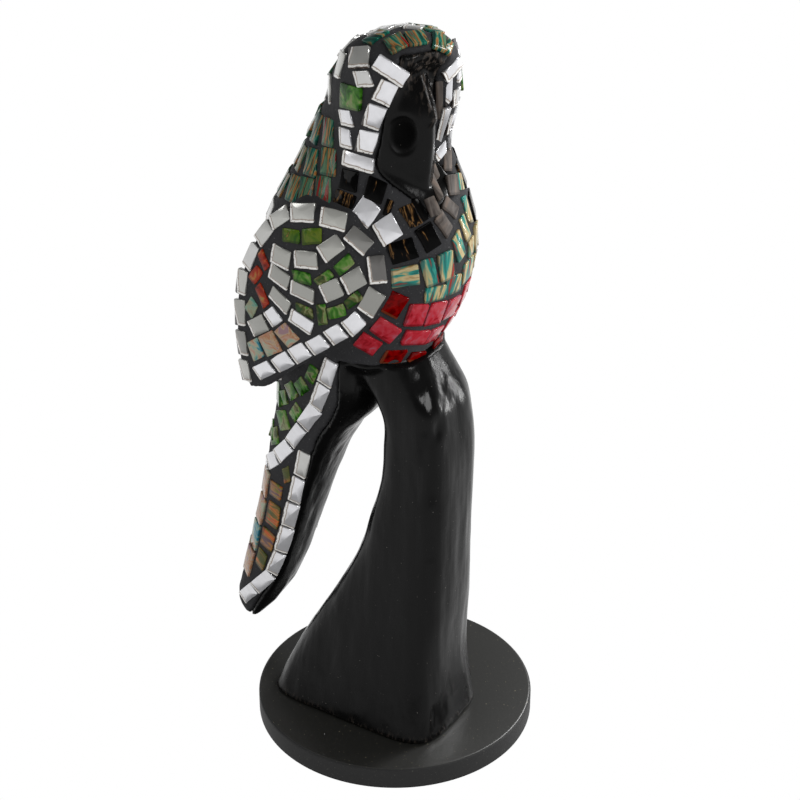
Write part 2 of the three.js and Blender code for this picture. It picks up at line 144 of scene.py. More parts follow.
def power(value, exponent):
    """A power that keeps the sign, for superellipses."""
    return np.sign(value) * np.abs(value) ** exponent


def smooth_step(value, low, high):
    """0 below low, 1 above high and a soft S between them."""
    t = np.clip((value - low) / (high - low), 0, 1)
    return t * t * (3 - 2 * t)


def trunk(angle, level):
    """Body, neck and head: x = side * sin(u)^(2/n), y = -front or back * cos(u)^(2/n),
    turned with the head, and closed above and below by quarter circles."""
    u = np.radians(angle)
    low, high = TRUNK["height"][0], TRUNK["height"][-1]
    up = np.clip((level - high) / CROWN_ARC, 0, np.pi / 2)
    down = np.clip((low - level) / BELLY_ARC, 0, np.pi / 2)
    wrapped = np.abs((np.asarray(angle) + 180) % 360 - 180)
    sideways = np.minimum(wrapped / FACE["half_angle"], 1)
    upwards = np.minimum(np.abs(level - FACE["level"]) / FACE["half_height"], 1)
    hollow = FACE["depth"] * np.cos(sideways * np.pi / 2) ** 2 * np.cos(upwards * np.pi / 2)
    size = np.cos(up) * np.cos(down) * (1 - hollow)
    c = power(np.cos(u), 2 / SQUARE_BODY)
    x = size * read(TRUNK, "side", level) * power(np.sin(u), 2 / SQUARE_BODY)
    depth = np.where(c > 0, read(TRUNK, "front", level), read(TRUNK, "back", level))
    y = -size * c * depth - CROWN_LEAN * np.sin(up)
    turn = HEAD_TURN * read(TRUNK, "turn", level)
    z = np.clip(level, low, high) + CROWN_RISE * np.sin(up) - BELLY_DROP * np.sin(down)
    return together(
        read(TRUNK, "middle_x", level) + x * np.cos(turn) + y * np.sin(turn),
        read(TRUNK, "middle_y", level) - x * np.sin(turn) + y * np.cos(turn),
        BOARD_TOP + z)


def post(angle, level):
    """The post: a superellipse, squarer and deeper on the bird's right."""
    u = np.radians(angle)
    depth = read(POST, "front", level) * (1 - POST_SKEW * np.sin(u))
    exponent = 2 / (read(POST, "squareness", level) * (1 - CORNER_SKEW * np.sin(u)))
    return together(
        read(POST, "middle_x", level) + read(POST, "side", level) * power(np.sin(u), exponent),
        read(POST, "middle_y", level) - depth * power(np.cos(u), exponent),
        BOARD_TOP + level)


def tail(angle, level):
    """The tail: flat towards the post, half an ellipse outwards."""
    u = np.radians(angle)
    inner = read(TAIL, "inner", level)
    depth = read(TAIL, "outer", level) - inner
    c = np.cos(u)
    flat, round_part = TAIL_WIDEST * power(c, 0.55), (1 - TAIL_WIDEST) * c
    y = inner + depth * (TAIL_WIDEST - np.where(c > 0, flat, round_part))
    return together(read(TAIL, "side", level) * power(np.sin(u), 0.8), y, BOARD_TOP + level)


def facing(across, forward, level):
    """A place in the turned head, by how far it is to the left and forward."""
    return together(
        across * np.cos(HEAD_TURN) - forward * np.sin(HEAD_TURN),
        -2 - across * np.sin(HEAD_TURN) - forward * np.cos(HEAD_TURN),
        BOARD_TOP + level)


def beak(angle, level):
    """The beak: a ridge between a broad flat on the right and a steep left side,
    across = width * sin(u)^1.5, forward = base + (reach - base) * cos(u)^1.5."""
    u = np.radians(angle)
    s, c = power(np.sin(u), 1.5), power(np.cos(u), 1.5)
    base = np.where(s < 0, BEAK_BASE["right"], BEAK_BASE["left"])
    forward = base + c * np.where(c > 0, read(BEAK, "reach", level) - base, BEAK_ROOT)
    across = read(BEAK, "side", level) * s * np.where(s < 0, RIGHT_FLAT, 1.0)
    return facing(across, forward, level)


def wing_reach(y, level):
    """How far the wing's face lies from the middle plane: a shallow dome that
    falls with the square of the distance, faster to the breast and shoulder."""
    dy = (y - WING["middle"][0]) / WING["half"][0]
    dz = (level - WING["middle"][1]) / WING["half"][1]
    return (WING["reach"] - np.where(dy < 0, WING["fall_front"], WING["fall_rear"]) * dy**2
            - np.where(dz > 0, WING["fall_up"], WING["fall_down"]) * dz**2)


def wing(side):
    """The face of the right (-1) or left (1) wing over y and level."""
    return lambda y, level: together(side * wing_reach(y, level), y, BOARD_TOP + level)


def unit(vector):
    """The vectors divided by their lengths."""
    return vector / np.maximum(np.linalg.norm(vector, axis=-1, keepdims=True), 1e-9)


def normal(form, p, q):
    """Unit normal: the cross product of two small steps over the surface."""
    step = 0.5
    along_p = form(p + step, q) - form(p - step, q)
    along_q = form(p, q + step) - form(p, q - step)
    return unit(np.cross(along_p, along_q))


# %% [markdown]
# ## From arrays to meshes
#
# A closed form is a stack of rings. One helper joins rings into quads and
# closes both ends with a pole, for whole arrays at a time.

# %% Mesh helpers
def ring_skin(rings):
    """Closed skin over an array (ring, point, xyz): quads between neighbouring
    rings, and triangles to the middle of the first and last ring."""
    count, around = rings.shape[:2]
    grid = np.arange(count * around).reshape(count, around)
    right = np.roll(grid, -1, axis=1)
    quads = np.stack([grid[:-1], right[:-1], right[1:], grid[1:]], -1).reshape(-1, 4)
    points = np.concatenate([rings.reshape(-1, 3), rings[[0, -1]].mean(axis=1)])
    low, high = count * around, count * around + 1
    floor = np.stack([right[0], grid[0], np.full(around, low)], -1)
    roof = np.stack([grid[-1], right[-1], np.full(around, high)], -1)
    return points, [quads, floor, roof]


def new_mesh(name, parts):
    """One mesh from several closed skins, in millimetres."""
    points, loops, sizes, start = [], [], [], 0
    for skin_points, faces in parts:
        points.append(skin_points)
        for block in faces:
            loops.append((block + start).ravel())
            sizes.append(np.full(len(block), block.shape[1]))
        start += len(skin_points)
    points, loops, sizes = (np.concatenate(x) for x in (points, loops, sizes))
    mesh = bpy.data.meshes.new(name)
    mesh.vertices.add(len(points))
    mesh.vertices.foreach_set("co", (points * MM).astype(np.float32).ravel())
    mesh.loops.add(len(loops))
    mesh.loops.foreach_set("vertex_index", loops.astype(np.int32))
    mesh.polygons.add(len(sizes))
    starts = np.concatenate([[0], np.cumsum(sizes)[:-1]])
    mesh.polygons.foreach_set("loop_start", starts.astype(np.int32))
    mesh.update(calc_edges=True)
    mesh.validate()
    return mesh


def new_object(name, mesh):
    """An object in the scene, holding a mesh, a light or a camera."""
    obj = bpy.data.objects.new(name, mesh)
    bpy.context.scene.collection.objects.link(obj)
    return obj


def get_points(mesh):
    """The vertices as an array of xyz in millimetres."""
    points = np.empty(len(mesh.vertices) * 3, np.float32)
    mesh.vertices.foreach_get("co", points)
    return points.reshape(-1, 3).astype(float) / MM


def get_normals(mesh):
    """The unit normals of the vertices."""
    normals = np.empty(len(mesh.vertices) * 3, np.float32)
    mesh.vertex_normals.foreach_get("vector", normals)
    return normals.reshape(-1, 3).astype(float)


def set_points(mesh, points):
    """Moves the vertices to points in millimetres."""
    mesh.vertices.foreach_set("co", (points * MM).astype(np.float32).ravel())
    mesh.update()


def fused(obj, voxel, smoothing):
    """Melts overlapping closed skins into one body: a voxel remesh, then a few
    rounds of smoothing that round the joints as sandpaper does."""
    remesh = obj.modifiers.new("fuse", "REMESH")
    remesh.mode = "VOXEL"
    remesh.voxel_size = voxel * MM
    smooth = obj.modifiers.new("sand", "SMOOTH")
    smooth.factor = 0.5
    smooth.iterations = smoothing
    graph = bpy.context.evaluated_depsgraph_get()
    mesh = bpy.data.meshes.new_from_object(obj.evaluated_get(graph))
    obj.modifiers.clear()
    obj.data = mesh
    mesh.shade_smooth()
    print(obj.name, len(mesh.polygons), "faces")
    return obj


# %% [markdown]
# ## Colour and material helpers
#
# Colours are written as sRGB hex, as a paint shop would, and one function turns
# them to linear light. A material is a tree of nodes. One function gives the
# inputs of a node their values or links, and one adds a node with its settings
# and hands on the socket that comes out of it.

# %% Material helpers
def linear(code):
    """sRGB hex such as "2A2B2C" to linear RGBA, by the curve of the sRGB norm."""
    srgb = np.array([int(code[i:i + 2], 16) for i in (0, 2, 4)]) / 255
    rgb = np.where(srgb <= 0.04045, srgb / 12.92, ((srgb + 0.055) / 1.055) ** 2.4)
    return (*rgb, 1.0)


def new_material(name):
    """A material, its tree of nodes and the shader in it."""
    material = bpy.data.materials.new(name)
    material.use_nodes = True
    tree = material.node_tree
    return material, tree, tree.nodes["Principled BSDF"]


def wire(tree, node, **inputs):
    """Gives each named input a value, or links it from a socket. A name has _
    for a space, and i6 stands for input number 6."""
    for key, value in inputs.items():
        numbered = key[0] == "i" and key[1:].isdigit()
        socket = node.inputs[int(key[1:]) if numbered else key.replace("_", " ")]
        if isinstance(value, bpy.types.NodeSocket):
            tree.links.new(value, socket)
        else:
            socket.default_value = value


def add(tree, kind, settings=None, **inputs):
    """Adds a node and returns one of its outputs. settings are the node's
    properties, and two words more: out is the output wanted, and stops are the
    (position, hex) pairs of a colour ramp."""
    node = tree.nodes.new("ShaderNode" + kind)
    settings = dict(settings or {})
    out, stops = settings.pop("out", 0), settings.pop("stops", ())
    for key, value in settings.items():
        setattr(node, key, value)
    elements = node.color_ramp.elements if stops else ()
    for _ in range(len(stops) - len(elements)):
        elements.new(0.5)
    for element, (position, code) in zip(elements, stops):
        element.position = position
        element.color = linear(code)
    wire(tree, node, **inputs)
    return node.outputs[out]


# %% [markdown]
# ## Where the coat of mosaic lies
#
# The whole carving is one body. The mosaic covers the head apart from the face,
# the body, both wings and the outer side of the tail. A number from 0 to 1 says
# how much of a point is coated. It is worked out by turning the forms round:
# from a point back to its angle and level.

# %% The coated area as a number from 0 to 1
COAT_TO_WOOD = 3.0
COAT_TO_GROUT = 0.6


def trunk_place(points):
    """Angle and level of points near the trunk: the forms' formulas backwards."""
    z = points[:, 2] - BOARD_TOP
    top = TRUNK["height"][-1]
    over = np.clip((z - top) / CROWN_RISE, 0, 1)
    level = np.where(z > top, top + CROWN_ARC * np.arcsin(over), z)
    turn = HEAD_TURN * read(TRUNK, "turn", level)
    dx = points[:, 0] - read(TRUNK, "middle_x", level)
    dy = points[:, 1] - read(TRUNK, "middle_y", level)
    x = dx * np.cos(turn) - dy * np.sin(turn)
    y = dx * np.sin(turn) + dy * np.cos(turn) + CROWN_LEAN * over
    depth = np.where(y < 0, read(TRUNK, "front", level), read(TRUNK, "back", level))
    s = power(x / read(TRUNK, "side", level), SQUARE_BODY / 2)
    c = power(-y / depth, SQUARE_BODY / 2)
    return np.degrees(np.arctan2(s, c)), level


# The rim of the bare face: angles on the bird's right and left at each level.
FACE_EDGE = {
    "height": [276, 288, 300, 312, 326, 340, 352, 362, 372],
    "right": [-18, -34, -56, -50, -42, -33, -31, -34, -40],
    "left": [10, 13, 14, 15, 15, 18, 27, 30, 22],
}
FACE_LOW, FACE_HIGH = 281, 366
# The edge of the mosaic on the tail, as an angle from the tail's inner side.
TAIL_EDGE = {
    "height": [20, 30, 44, 58, 75, 92, 110, 127, 142, 160, 176, 200],
    "half": [88, 86, 76, 64, 61, 64, 67, 72, 78, 82, 80, 76],
}
BELLY_RIM, TAIL_TOP, WING_TOP = 199, 236, 285


def coated(points, edge=1.0):
    """1 where the mosaic lies, 0 on bare wood, with a short slope between."""
    angle, level = trunk_place(points)
    z = points[:, 2] - BOARD_TOP
    right = read(FACE_EDGE, "right", level)
    left = read(FACE_EDGE, "left", level)
    side = np.minimum(angle - right, left - angle) * 0.5
    height = np.minimum(level - FACE_LOW - 0.006 * (angle + 20) ** 2, FACE_HIGH - level)
    face = smooth_step(np.minimum(side, height), -edge, edge)
    belly = level - BELLY_RIM - 4 * np.cos(np.radians(angle))
    body = smooth_step(belly, -edge, edge) * (1 - face)
    inner = read(TAIL, "inner", z)
    on_tail = smooth_step(points[:, 1] - inner, -3, -1) * smooth_step(TAIL_TOP - z, -2, 2)
    half = np.radians(read(TAIL_EDGE, "half", z))
    depth = TAIL_WIDEST * (read(TAIL, "outer", z) - inner)
    edge_y = inner + depth * (1 - np.cos(half) ** 0.55)
    rear = on_tail * smooth_step(points[:, 1] - edge_y, -0.6 * edge, 0.6 * edge)
    # the wing's lower edge falls towards the tail, 0.9 for every 1 back
    off_wing = np.abs(points[:, 0]) - wing_reach(points[:, 1], z)
    winged = (smooth_step(off_wing, -6 - edge, -6 + edge)
              * smooth_step(z + 0.9 * points[:, 1] - 214, -1, 1) * smooth_step(WING_TOP - z, -1, 1))
    return np.maximum(np.maximum(body, rear), winged)


# %% [markdown]
# ## Natural irregularity
#
# A hand tool never leaves an even surface. Value noise stands for its marks: a
# grid of seeded random numbers, read between its corners with a soft S. With a
# different scale per axis the marks run along the grain.

# %% Seeded value noise for whole arrays of points
def value_noise(points, scale, seed):
    """Noise from -1 to 1 at points; scale is the mark's size in mm per axis."""
    lattice = np.random.default_rng(seed).uniform(-1, 1, (32, 32, 32))
    q = points / np.asarray(scale, float) + 64.5
    i = np.floor(q).astype(int)
    f = q - i
    f = f * f * (3 - 2 * f)
    total = 0
    for corner in np.ndindex(2, 2, 2):
        weight = np.prod(np.where(corner, f, 1 - f), axis=1)
        j = (i + corner) % 32
        total = total + weight * lattice[j[:, 0], j[:, 1], j[:, 2]]
    return total


# %% [markdown]
# ## The carving and its grout
#
# The wooden bird, its tail and the post are one block. Closed forms overlap and
# a voxel remesh melts them together, as the carver's sandpaper does. The result
# is the outside of the coated bird. The wood is that surface drawn in where the
# mosaic lies, and the grout is drawn in a little less.

# %% Closed skins of the forms
def loft(form, low, high, levels, around):
    """Closed skin of a form between two levels."""
    angles = np.arange(around) * 360 / around
    rows = np.linspace(low, high, levels)
    points, faces = ring_skin(form(angles[None, :], rows[:, None]))
    return outward(points, faces)


def outward(points, faces):
    """The same skin with its faces turned outward, judged by its volume."""
    tris = np.concatenate([np.concatenate([f[:, [0, 1, 2]], f[:, [0, 2, 3]]])
                           if f.shape[1] == 4 else f for f in faces])
    a, b, c = (points[tris[:, k]] for k in range(3))
    if np.einsum("ij,ij->i", a, np.cross(b, c)).sum() < 0:
        faces = [f[:, ::-1] for f in faces]
    return points, faces


# %% The wings as slabs
WING_RIM = np.array([
    [62.5, 171], [67, 184], [66, 205], [63, 225], [57, 243], [50, 258], [40, 272], [28, 281],
    [14, 282], [0, 280.5], [-12, 270], [-20, 259], [-20, 245], [-12, 231], [4, 217], [26, 197.4],
    [50, 176]], float)
WING_HEART = np.array([22, 236])
WING_SLAB, WING_ROOT = 8, 11    # its thickness, and how much deeper its upper part is


def wing_slab(side):
    """A closed slab: rings from the wing's heart out to its rim on the face, and
    the same rings pushed in by the thickness on the back."""
    closed = np.vstack([WING_RIM, WING_RIM[:1]])
    corner = np.concatenate([[0], np.cumsum(np.linalg.norm(np.diff(closed, axis=0), axis=1))])
    along = np.linspace(0, corner[-1], 120, endpoint=False)
    rim = np.stack([np.interp(along, corner, closed[:, k]) for k in (0, 1)], -1)
    share = np.array([0.05, 0.35, 0.7, 0.93, 1.0])[:, None, None]
    flat = WING_HEART + (rim - WING_HEART)[None] * share
    face = wing(side)(flat[..., 0], flat[..., 1])
    face[-1, :, 0] -= side * 1.5
    back = face[::-1].copy()
    back[..., 0] -= side * (WING_SLAB + WING_ROOT * smooth_step(flat[::-1, :, 1], 186, 232))
    return outward(*ring_skin(np.concatenate([face, back])))


# %% Melt the forms together
def ends(profile):
    """The lowest and the highest level of a profile."""
    return profile["height"][0], profile["height"][-1]


def bird_parts():
    """Body, tail and wings: what the coat of mosaic goes over."""
    low, high = ends(TRUNK)
    return [loft(trunk, low - BELLY_ARC * 1.5, high + CROWN_ARC * 1.5, 90, 96),
            loft(tail, *ends(TAIL), 90, 64), wing_slab(-1), wing_slab(1)]


wood = new_object("wood_carving", new_mesh("wood_carving", [
    *bird_parts(), loft(post, *ends(POST), 80, 72), loft(beak, *ends(BEAK), 40, 48)]))
fused(wood, 1.3, 3)
grout = new_object("grout", new_mesh("grout", bird_parts()))
fused(grout, 1.6, 3)

# %% [markdown]
# ## Tool marks on the wood
#
# The post was cut with a broad gouge from top to bottom, so its marks are long
# and low, and a few deeper nicks are listed one by one. The face was left smoother and
# the forehead rough. A ridge runs from the brow down to the beak, and the eye is
# an oval hollow beside it. All of it moves the surface along its own normal.

# %% Marks of the gouge and nicks
NICKS = [(-38, 172, 3.2, 1.6), (-66, 166, 3.6, 1.2), (-74, 158, 3.0, 1.0), (-46, 188, 4.5, 1.2),
         (-50, 96, 3.0, 0.5), (-44, 66, 3.6, 0.5), (-58, 128, 5.0, 0.7), (-20, 10, 5.0, 0.9)]
points = get_points(wood.data)
facing_out = get_normals(wood.data)
height = points[:, 2] - BOARD_TOP
marks = (0.7 * value_noise(points, (14, 14, 70), 1) + 0.3 * value_noise(points, (5, 5, 34), 2)
         + 0.1 * value_noise(points, (2.2, 2.2, 9), 6))
for angle, level, size, depth in NICKS:
    far = (points - post(np.float64(angle), np.float64(level))) / (size, size, size * 1.6)
    marks -= depth * np.exp(-(far**2).sum(axis=1))
on_face = smooth_step(height, 270, 282)
forehead = smooth_step(height, 333, 343)
marks = marks * (1 - 0.75 * on_face) + forehead * 0.55 * value_noise(points, (3, 3, 3), 4)
print("gouge marks from", marks.min().round(2), "to", marks.max().round(2), "mm")

# %% The ridge above the beak and the hollow of the eye
RIDGE_WIDTH, RIDGE_HEIGHT = 3.2, 1.9
EYE_HALF, EYE_RIM_HALF = (5.8, 5.8, 7.8), (7.8, 7.8, 10.4)
EYE_DEPTH, EYE_RIM = 5.2, 0.4
low, high = facing(np.array([0.5, -1.5]), np.array([30.0, 17.0]), np.array([325.0, 349.0]))
run = high - low
share = np.clip((points - low) @ run / (run @ run), 0, 1)
off_ridge = np.linalg.norm(points - low - share[:, None] * run, axis=1)
on_ridge = np.exp(-(off_ridge / RIDGE_WIDTH) ** 2)
eye = facing(np.float64(-11.0), np.float64(24.0), np.float64(317.0))
hollow, rim = (np.exp(-(((points - eye) / half) ** 2).sum(axis=1) ** 2)
               for half in (EYE_HALF, EYE_RIM_HALF))
print("middle of the eye", eye.round(1))

# %% Draw the wood in under the coat
SANDED = 0.3                    # what the sandpaper took off the bare wood
CHIPPED_UP_TO = 3.0
coat = coated(points)
foot = smooth_step(height, 0.5, 6)
bare = marks * foot - SANDED - EYE_DEPTH * hollow + EYE_RIM * rim + RIDGE_HEIGHT * on_ridge
chipped = np.exp(-(height / CHIPPED_UP_TO) ** 2) * (height > 0.2)
worn = np.maximum(np.maximum(forehead, 1.2 * on_ridge), 0.8 * chipped) * (1 - coat)
# the eye's hollow also gets a mask of painted shade, which darkens the lacquer there
for name, values in (("raw", worn), ("painted_eye_shade", 1.8 * hollow)):
    layer = wood.data.attributes.new(name, "FLOAT", "POINT")
    layer.data.foreach_set("value", np.clip(values, 0, 1).astype(np.float32))
points += facing_out * (-COAT_TO_WOOD * coat + (1 - coat) * bare)[:, None]
points[:, 2] = np.maximum(points[:, 2], BOARD_TOP)
set_points(wood.data, points)
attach(wood, "root")
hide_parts("carved_bird")
print("wood", len(wood.data.polygons), "faces")

# %% Spread the grout
BURIED = 5                      # where there is no coat, the grout's skin is deep in the wood
points = get_points(grout.data)
facing_out = get_normals(grout.data)
coat = coated(points)
uneven = 0.22 * value_noise(points, (4, 4, 4), 5)
points += facing_out * (-COAT_TO_GROUT * coat - BURIED * (1 - coat) + uneven)[:, None]
set_points(grout.data, points)
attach(grout, "root")
print("grout", len(grout.data.polygons), "faces")

# %% [markdown]
# ## Cutting and laying tiles
#
# Each tile is nipped from sheet glass, so its corners are blunt and its edges
# are not quite straight. A tile is four corners on a form, made into a closed
# slab. Two functions lay them: one in a row along a line, and one tile by tile.
# A cut sheet shows its sawn side on two edges: the distance to them is kept as a
# texture coordinate for the materials.

# %% One tile as a closed slab
THICK = 1.8                                     # of the glass
GAP = 1.1                                       # between tiles of a row
SAWN_SIDE = np.array([-0.25, 0.72, -0.65])      # edges on this side show the saw's cut
SAWN_FROM = 0.38                                # how squarely an edge faces that side
FAR = 20.0                                      # mm, so far off that no edge shows
TILE_RINGS = [(0.15, THICK), (0, 0.35), (0.12, 0.08), (0.35, 0)]    # inset and depth


def tile_skin(corners, top, rng):
    """Rings of the tiles: from the bottom, up the side, over a blunt edge."""
    count = len(corners)
    middle = corners.mean(axis=1)
    after = np.roll(corners, -1, axis=1)
    step = unit(after - corners)
    blunt = rng.uniform(0.15, 0.7, (count, 4, 1))
    bow = rng.normal(0.05, 0.14, (count, 4, 1)) * np.cross(step, top[:, None])
    outline = np.stack([corners + step * blunt, (corners + after) / 2 + bow,
                        after - step * blunt], 2).reshape(count, 12, 3)
    inward = unit(middle[:, None] - outline)
    return np.stack([outline + inward * inset - top[:, None] * depth
                     for inset, depth in TILE_RINGS], 1)


# %% One object of many tiles
HAND_SHIFT, HAND_TILT = 0.2, 0.02   # how unevenly a hand sets them: mm and radians
SHEET = 40                          # mm of the sheet that the tiles are cut from


def add_tiles(name, material, corners, centre, top, along, tones_and_reflections, seed):
    """One object of separate closed tiles, from their corners on the form. The
    corners are shifted a little at random and then moved into one plane, as glass
    is flat, halfway between their own mean height and the form at the middle."""
    rng = np.random.default_rng(seed)
    count = len(corners)
    corners = corners + rng.normal(0, HAND_SHIFT, corners.shape)
    top = unit(top + rng.normal(0, HAND_TILT, top.shape))
    middle = corners.mean(axis=1)
    lift = np.einsum("tj,tj->t", centre - middle, top)
    height = np.einsum("tcj,tj->tc", corners - middle[:, None], top)
    corners = corners + (lift[:, None] * 0.5 - height)[..., None] * top[:, None]
    middle = corners.mean(axis=1)
    rings = tile_skin(corners, top, rng)
    mesh = new_mesh(name, [outward(*ring_skin(tile)) for tile in rings])
    places = get_points(mesh).reshape(count, -1, 3)
    local = places - middle[:, None]
    along = unit(along - top * np.einsum("ij,ij->i", along, top)[:, None])
    aside = np.cross(top, along)
    chance = rng.uniform(0, 1, count)
    face, sawn = [], []
    for axis in (along, aside):
        value = np.einsum("tpj,tj->tp", local, axis)
        reach = np.abs(np.einsum("tcj,tj->tc", corners - middle[:, None], axis)).mean(axis=1)
        lean = axis @ SAWN_SIDE
        far = np.where(np.abs(lean) > SAWN_FROM, 0.0, FAR)
        face.append(value)
        sawn.append((reach + far)[:, None] - np.sign(lean)[:, None] * value)
    face[0] = face[0] + SHEET * chance[:, None]
    point_of = np.empty(len(mesh.loops), np.int32)
    mesh.loops.foreach_get("vertex_index", point_of)
    for layer, pair in (("sawn", sawn), ("face", face)):
        flat = np.stack([values.ravel() for values in pair], -1) * 0.1
        uv = mesh.uv_layers.new(name=layer)
        uv.data.foreach_set("uv", flat[point_of].astype(np.float32).ravel())
    # on mirror tiles this tone is painted reflection: light where a tile faces the white floor,
    # grey where it faces the room above
    tones_and_reflections = chance if tones_and_reflections is None else np.clip(np.asarray(tones_and_reflections) + 0.05 * (chance - 0.5), 0, 1)
    tone_and_reflection = mesh.attributes.new("tone_and_reflection", "FLOAT", "POINT")
    tone_and_reflection.data.foreach_set("value", np.repeat(tones_and_reflections, places.shape[1]).astype(np.float32))
    mesh.materials.append(material)
    obj = new_object(name, mesh)
    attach(obj, "root")
    return obj


# %% Rows of tiles, and tiles set one by one
WEDGE = 0.55                        # a tile of a row is so much wedge, the rest rectangle


def spaced(form, path, tiles):
    """The middles of so many tiles, evenly along a path over the form."""
    fine = np.linspace(0, len(path) - 1, 200)
    line = np.stack([np.interp(fine, np.arange(len(path)), path[:, k]) for k in (0, 1)], -1)
    walk = np.linalg.norm(np.diff(form(line[:, 0], line[:, 1]), axis=0), axis=1)
    along = np.concatenate([[0], np.cumsum(walk)])
    wanted = np.linspace(0, along[-1], tiles)
    return np.stack([np.interp(wanted, along, line[:, k]) for k in (0, 1)], -1)


def facing_away(form, at_points, inside):
    """Unit normals on the form, turned away from a point inside the bird."""
    direction = normal(form, at_points[:, 0], at_points[:, 1])
    place = form(at_points[:, 0], at_points[:, 1])
    away = np.einsum("ij,ij->i", direction, place - inside)
    return direction * np.sign(away)[:, None]


def box_corners(start, end, side_start, side_end):
    """The four corners of tiles from their ends and half their widths."""
    return np.stack([start - side_start, end - side_end, end + side_end, start + side_start], 1)


def lay_course(name, form, inside, material, width, path, tiles=None, tones_and_reflections=None, seed=0):
    """A row of tiles along a path: partly wedges that share the joint between
    them, partly plain rectangles, as a tiler turns and trims them."""
    path = np.asarray(path, float)
    if tiles == 1:
        ends, path = path, path.mean(axis=0, keepdims=True)
    else:
        path = spaced(form, path, tiles) if tiles else path
        middle = (path[1:] + path[:-1]) / 2
        ends = np.vstack([2 * path[0] - middle[0], middle, 2 * path[-1] - middle[-1]])
    centre = form(path[:, 0], path[:, 1])
    top = facing_away(form, path, inside)
    border = form(ends[:, 0], ends[:, 1])
    border_top = facing_away(form, ends, inside)
    walk = np.gradient(border, axis=0)
    walk = unit(walk - border_top * np.einsum("ij,ij->i", walk, border_top)[:, None])
    across = unit(np.cross(border_top, walk))
    half = np.broadcast_to(np.asarray(width, float) / 2, (len(path),))[:, None]
    start = border[:-1] + walk[:-1] * GAP / 2
    end = border[1:] - walk[1:] * GAP / 2
    wedge = box_corners(start, end, across[:-1] * half, across[1:] * half)
    along = unit(border[1:] - border[:-1])
    aside = unit(np.cross(top, along)) * half
    corners = WEDGE * wedge + (1 - WEDGE) * box_corners(start, end, aside, aside)
    return add_tiles(name, material, corners, centre, top, along, tones_and_reflections, seed)


def lay_patch(name, form, inside, material, rows, seed=0):
    """Tiles set one by one. A row is (place, level, long, wide, turn, tone, lean):
    the tile's middle on the form, its sizes, its turn from level and how far its
    sides lean, both in degrees. The lean may be left out."""
    rows = np.array([(*row, 0)[:7] for row in rows], float)
    place, level, long, wide, turn, tones_and_reflections, lean = rows.T
    centre = form(place, level)
    top = facing_away(form, rows[:, :2], inside)
    flat = unit(form(place + 1, level) - form(place - 1, level))
    aside = np.cross(top, flat)
    angle = np.radians(turn)[:, None]
    along = flat * np.cos(angle) + aside * np.sin(angle)
    reach = along * (long / 2)[:, None]
    half = (np.cross(top, along) + along * np.tan(np.radians(lean))[:, None]) * (wide / 2)[:, None]
    corners = box_corners(centre - reach, centre + reach, half, half)
    return add_tiles(name, material, corners, centre, top, along, tones_and_reflections, seed)


# %% [markdown]
# ## Materials of the glass
#
# Mirror tiles are silvered glass: almost flat pale grey, with a streaky white
# and brown stripe where the sawn edge shows through. How light each mirror tile
# is, is painted reflection of the part of the room it faces. The colours are
# marbled or combed glass: noise, stretched along one side, runs through a colour ramp.

# %% What every glass reads
TO_BAND = 7.4           # 10 would turn cm to mm; less widens the sawn edge by a third


def tile_places(tree):
    """What every glass reads: the place on the tile's face in cm, the distance
    to its sawn edges in mm, and the tile's tone from 0 to 1, which on mirrors is painted
    reflection."""
    face = add(tree, "UVMap", {"uv_map": "face"})
    sawn = add(tree, "UVMap", {"uv_map": "sawn"})
    near = add(tree, "Math", {"operation": "MINIMUM"},
               i0=add(tree, "SeparateXYZ", {"out": "X"}, Vector=sawn),
               i1=add(tree, "SeparateXYZ", {"out": "Y"}, Vector=sawn))
    near = add(tree, "Math", {"operation": "MULTIPLY"}, i0=near, i1=TO_BAND)
    return face, near, add(tree, "Attribute", {"attribute_name": "tone_and_reflection", "out": "Fac"})


def marbling(tree, face, along, aside, detail=3.0, twist=0.0):
    """Noise over the tile's face, with so many marks per cm along and aside."""
    moved = add(tree, "Mapping", Vector=face, Scale=(along, aside, 1))
    return add(tree, "TexNoise", Vector=moved, Scale=1.0, Detail=detail, Distortion=twist)


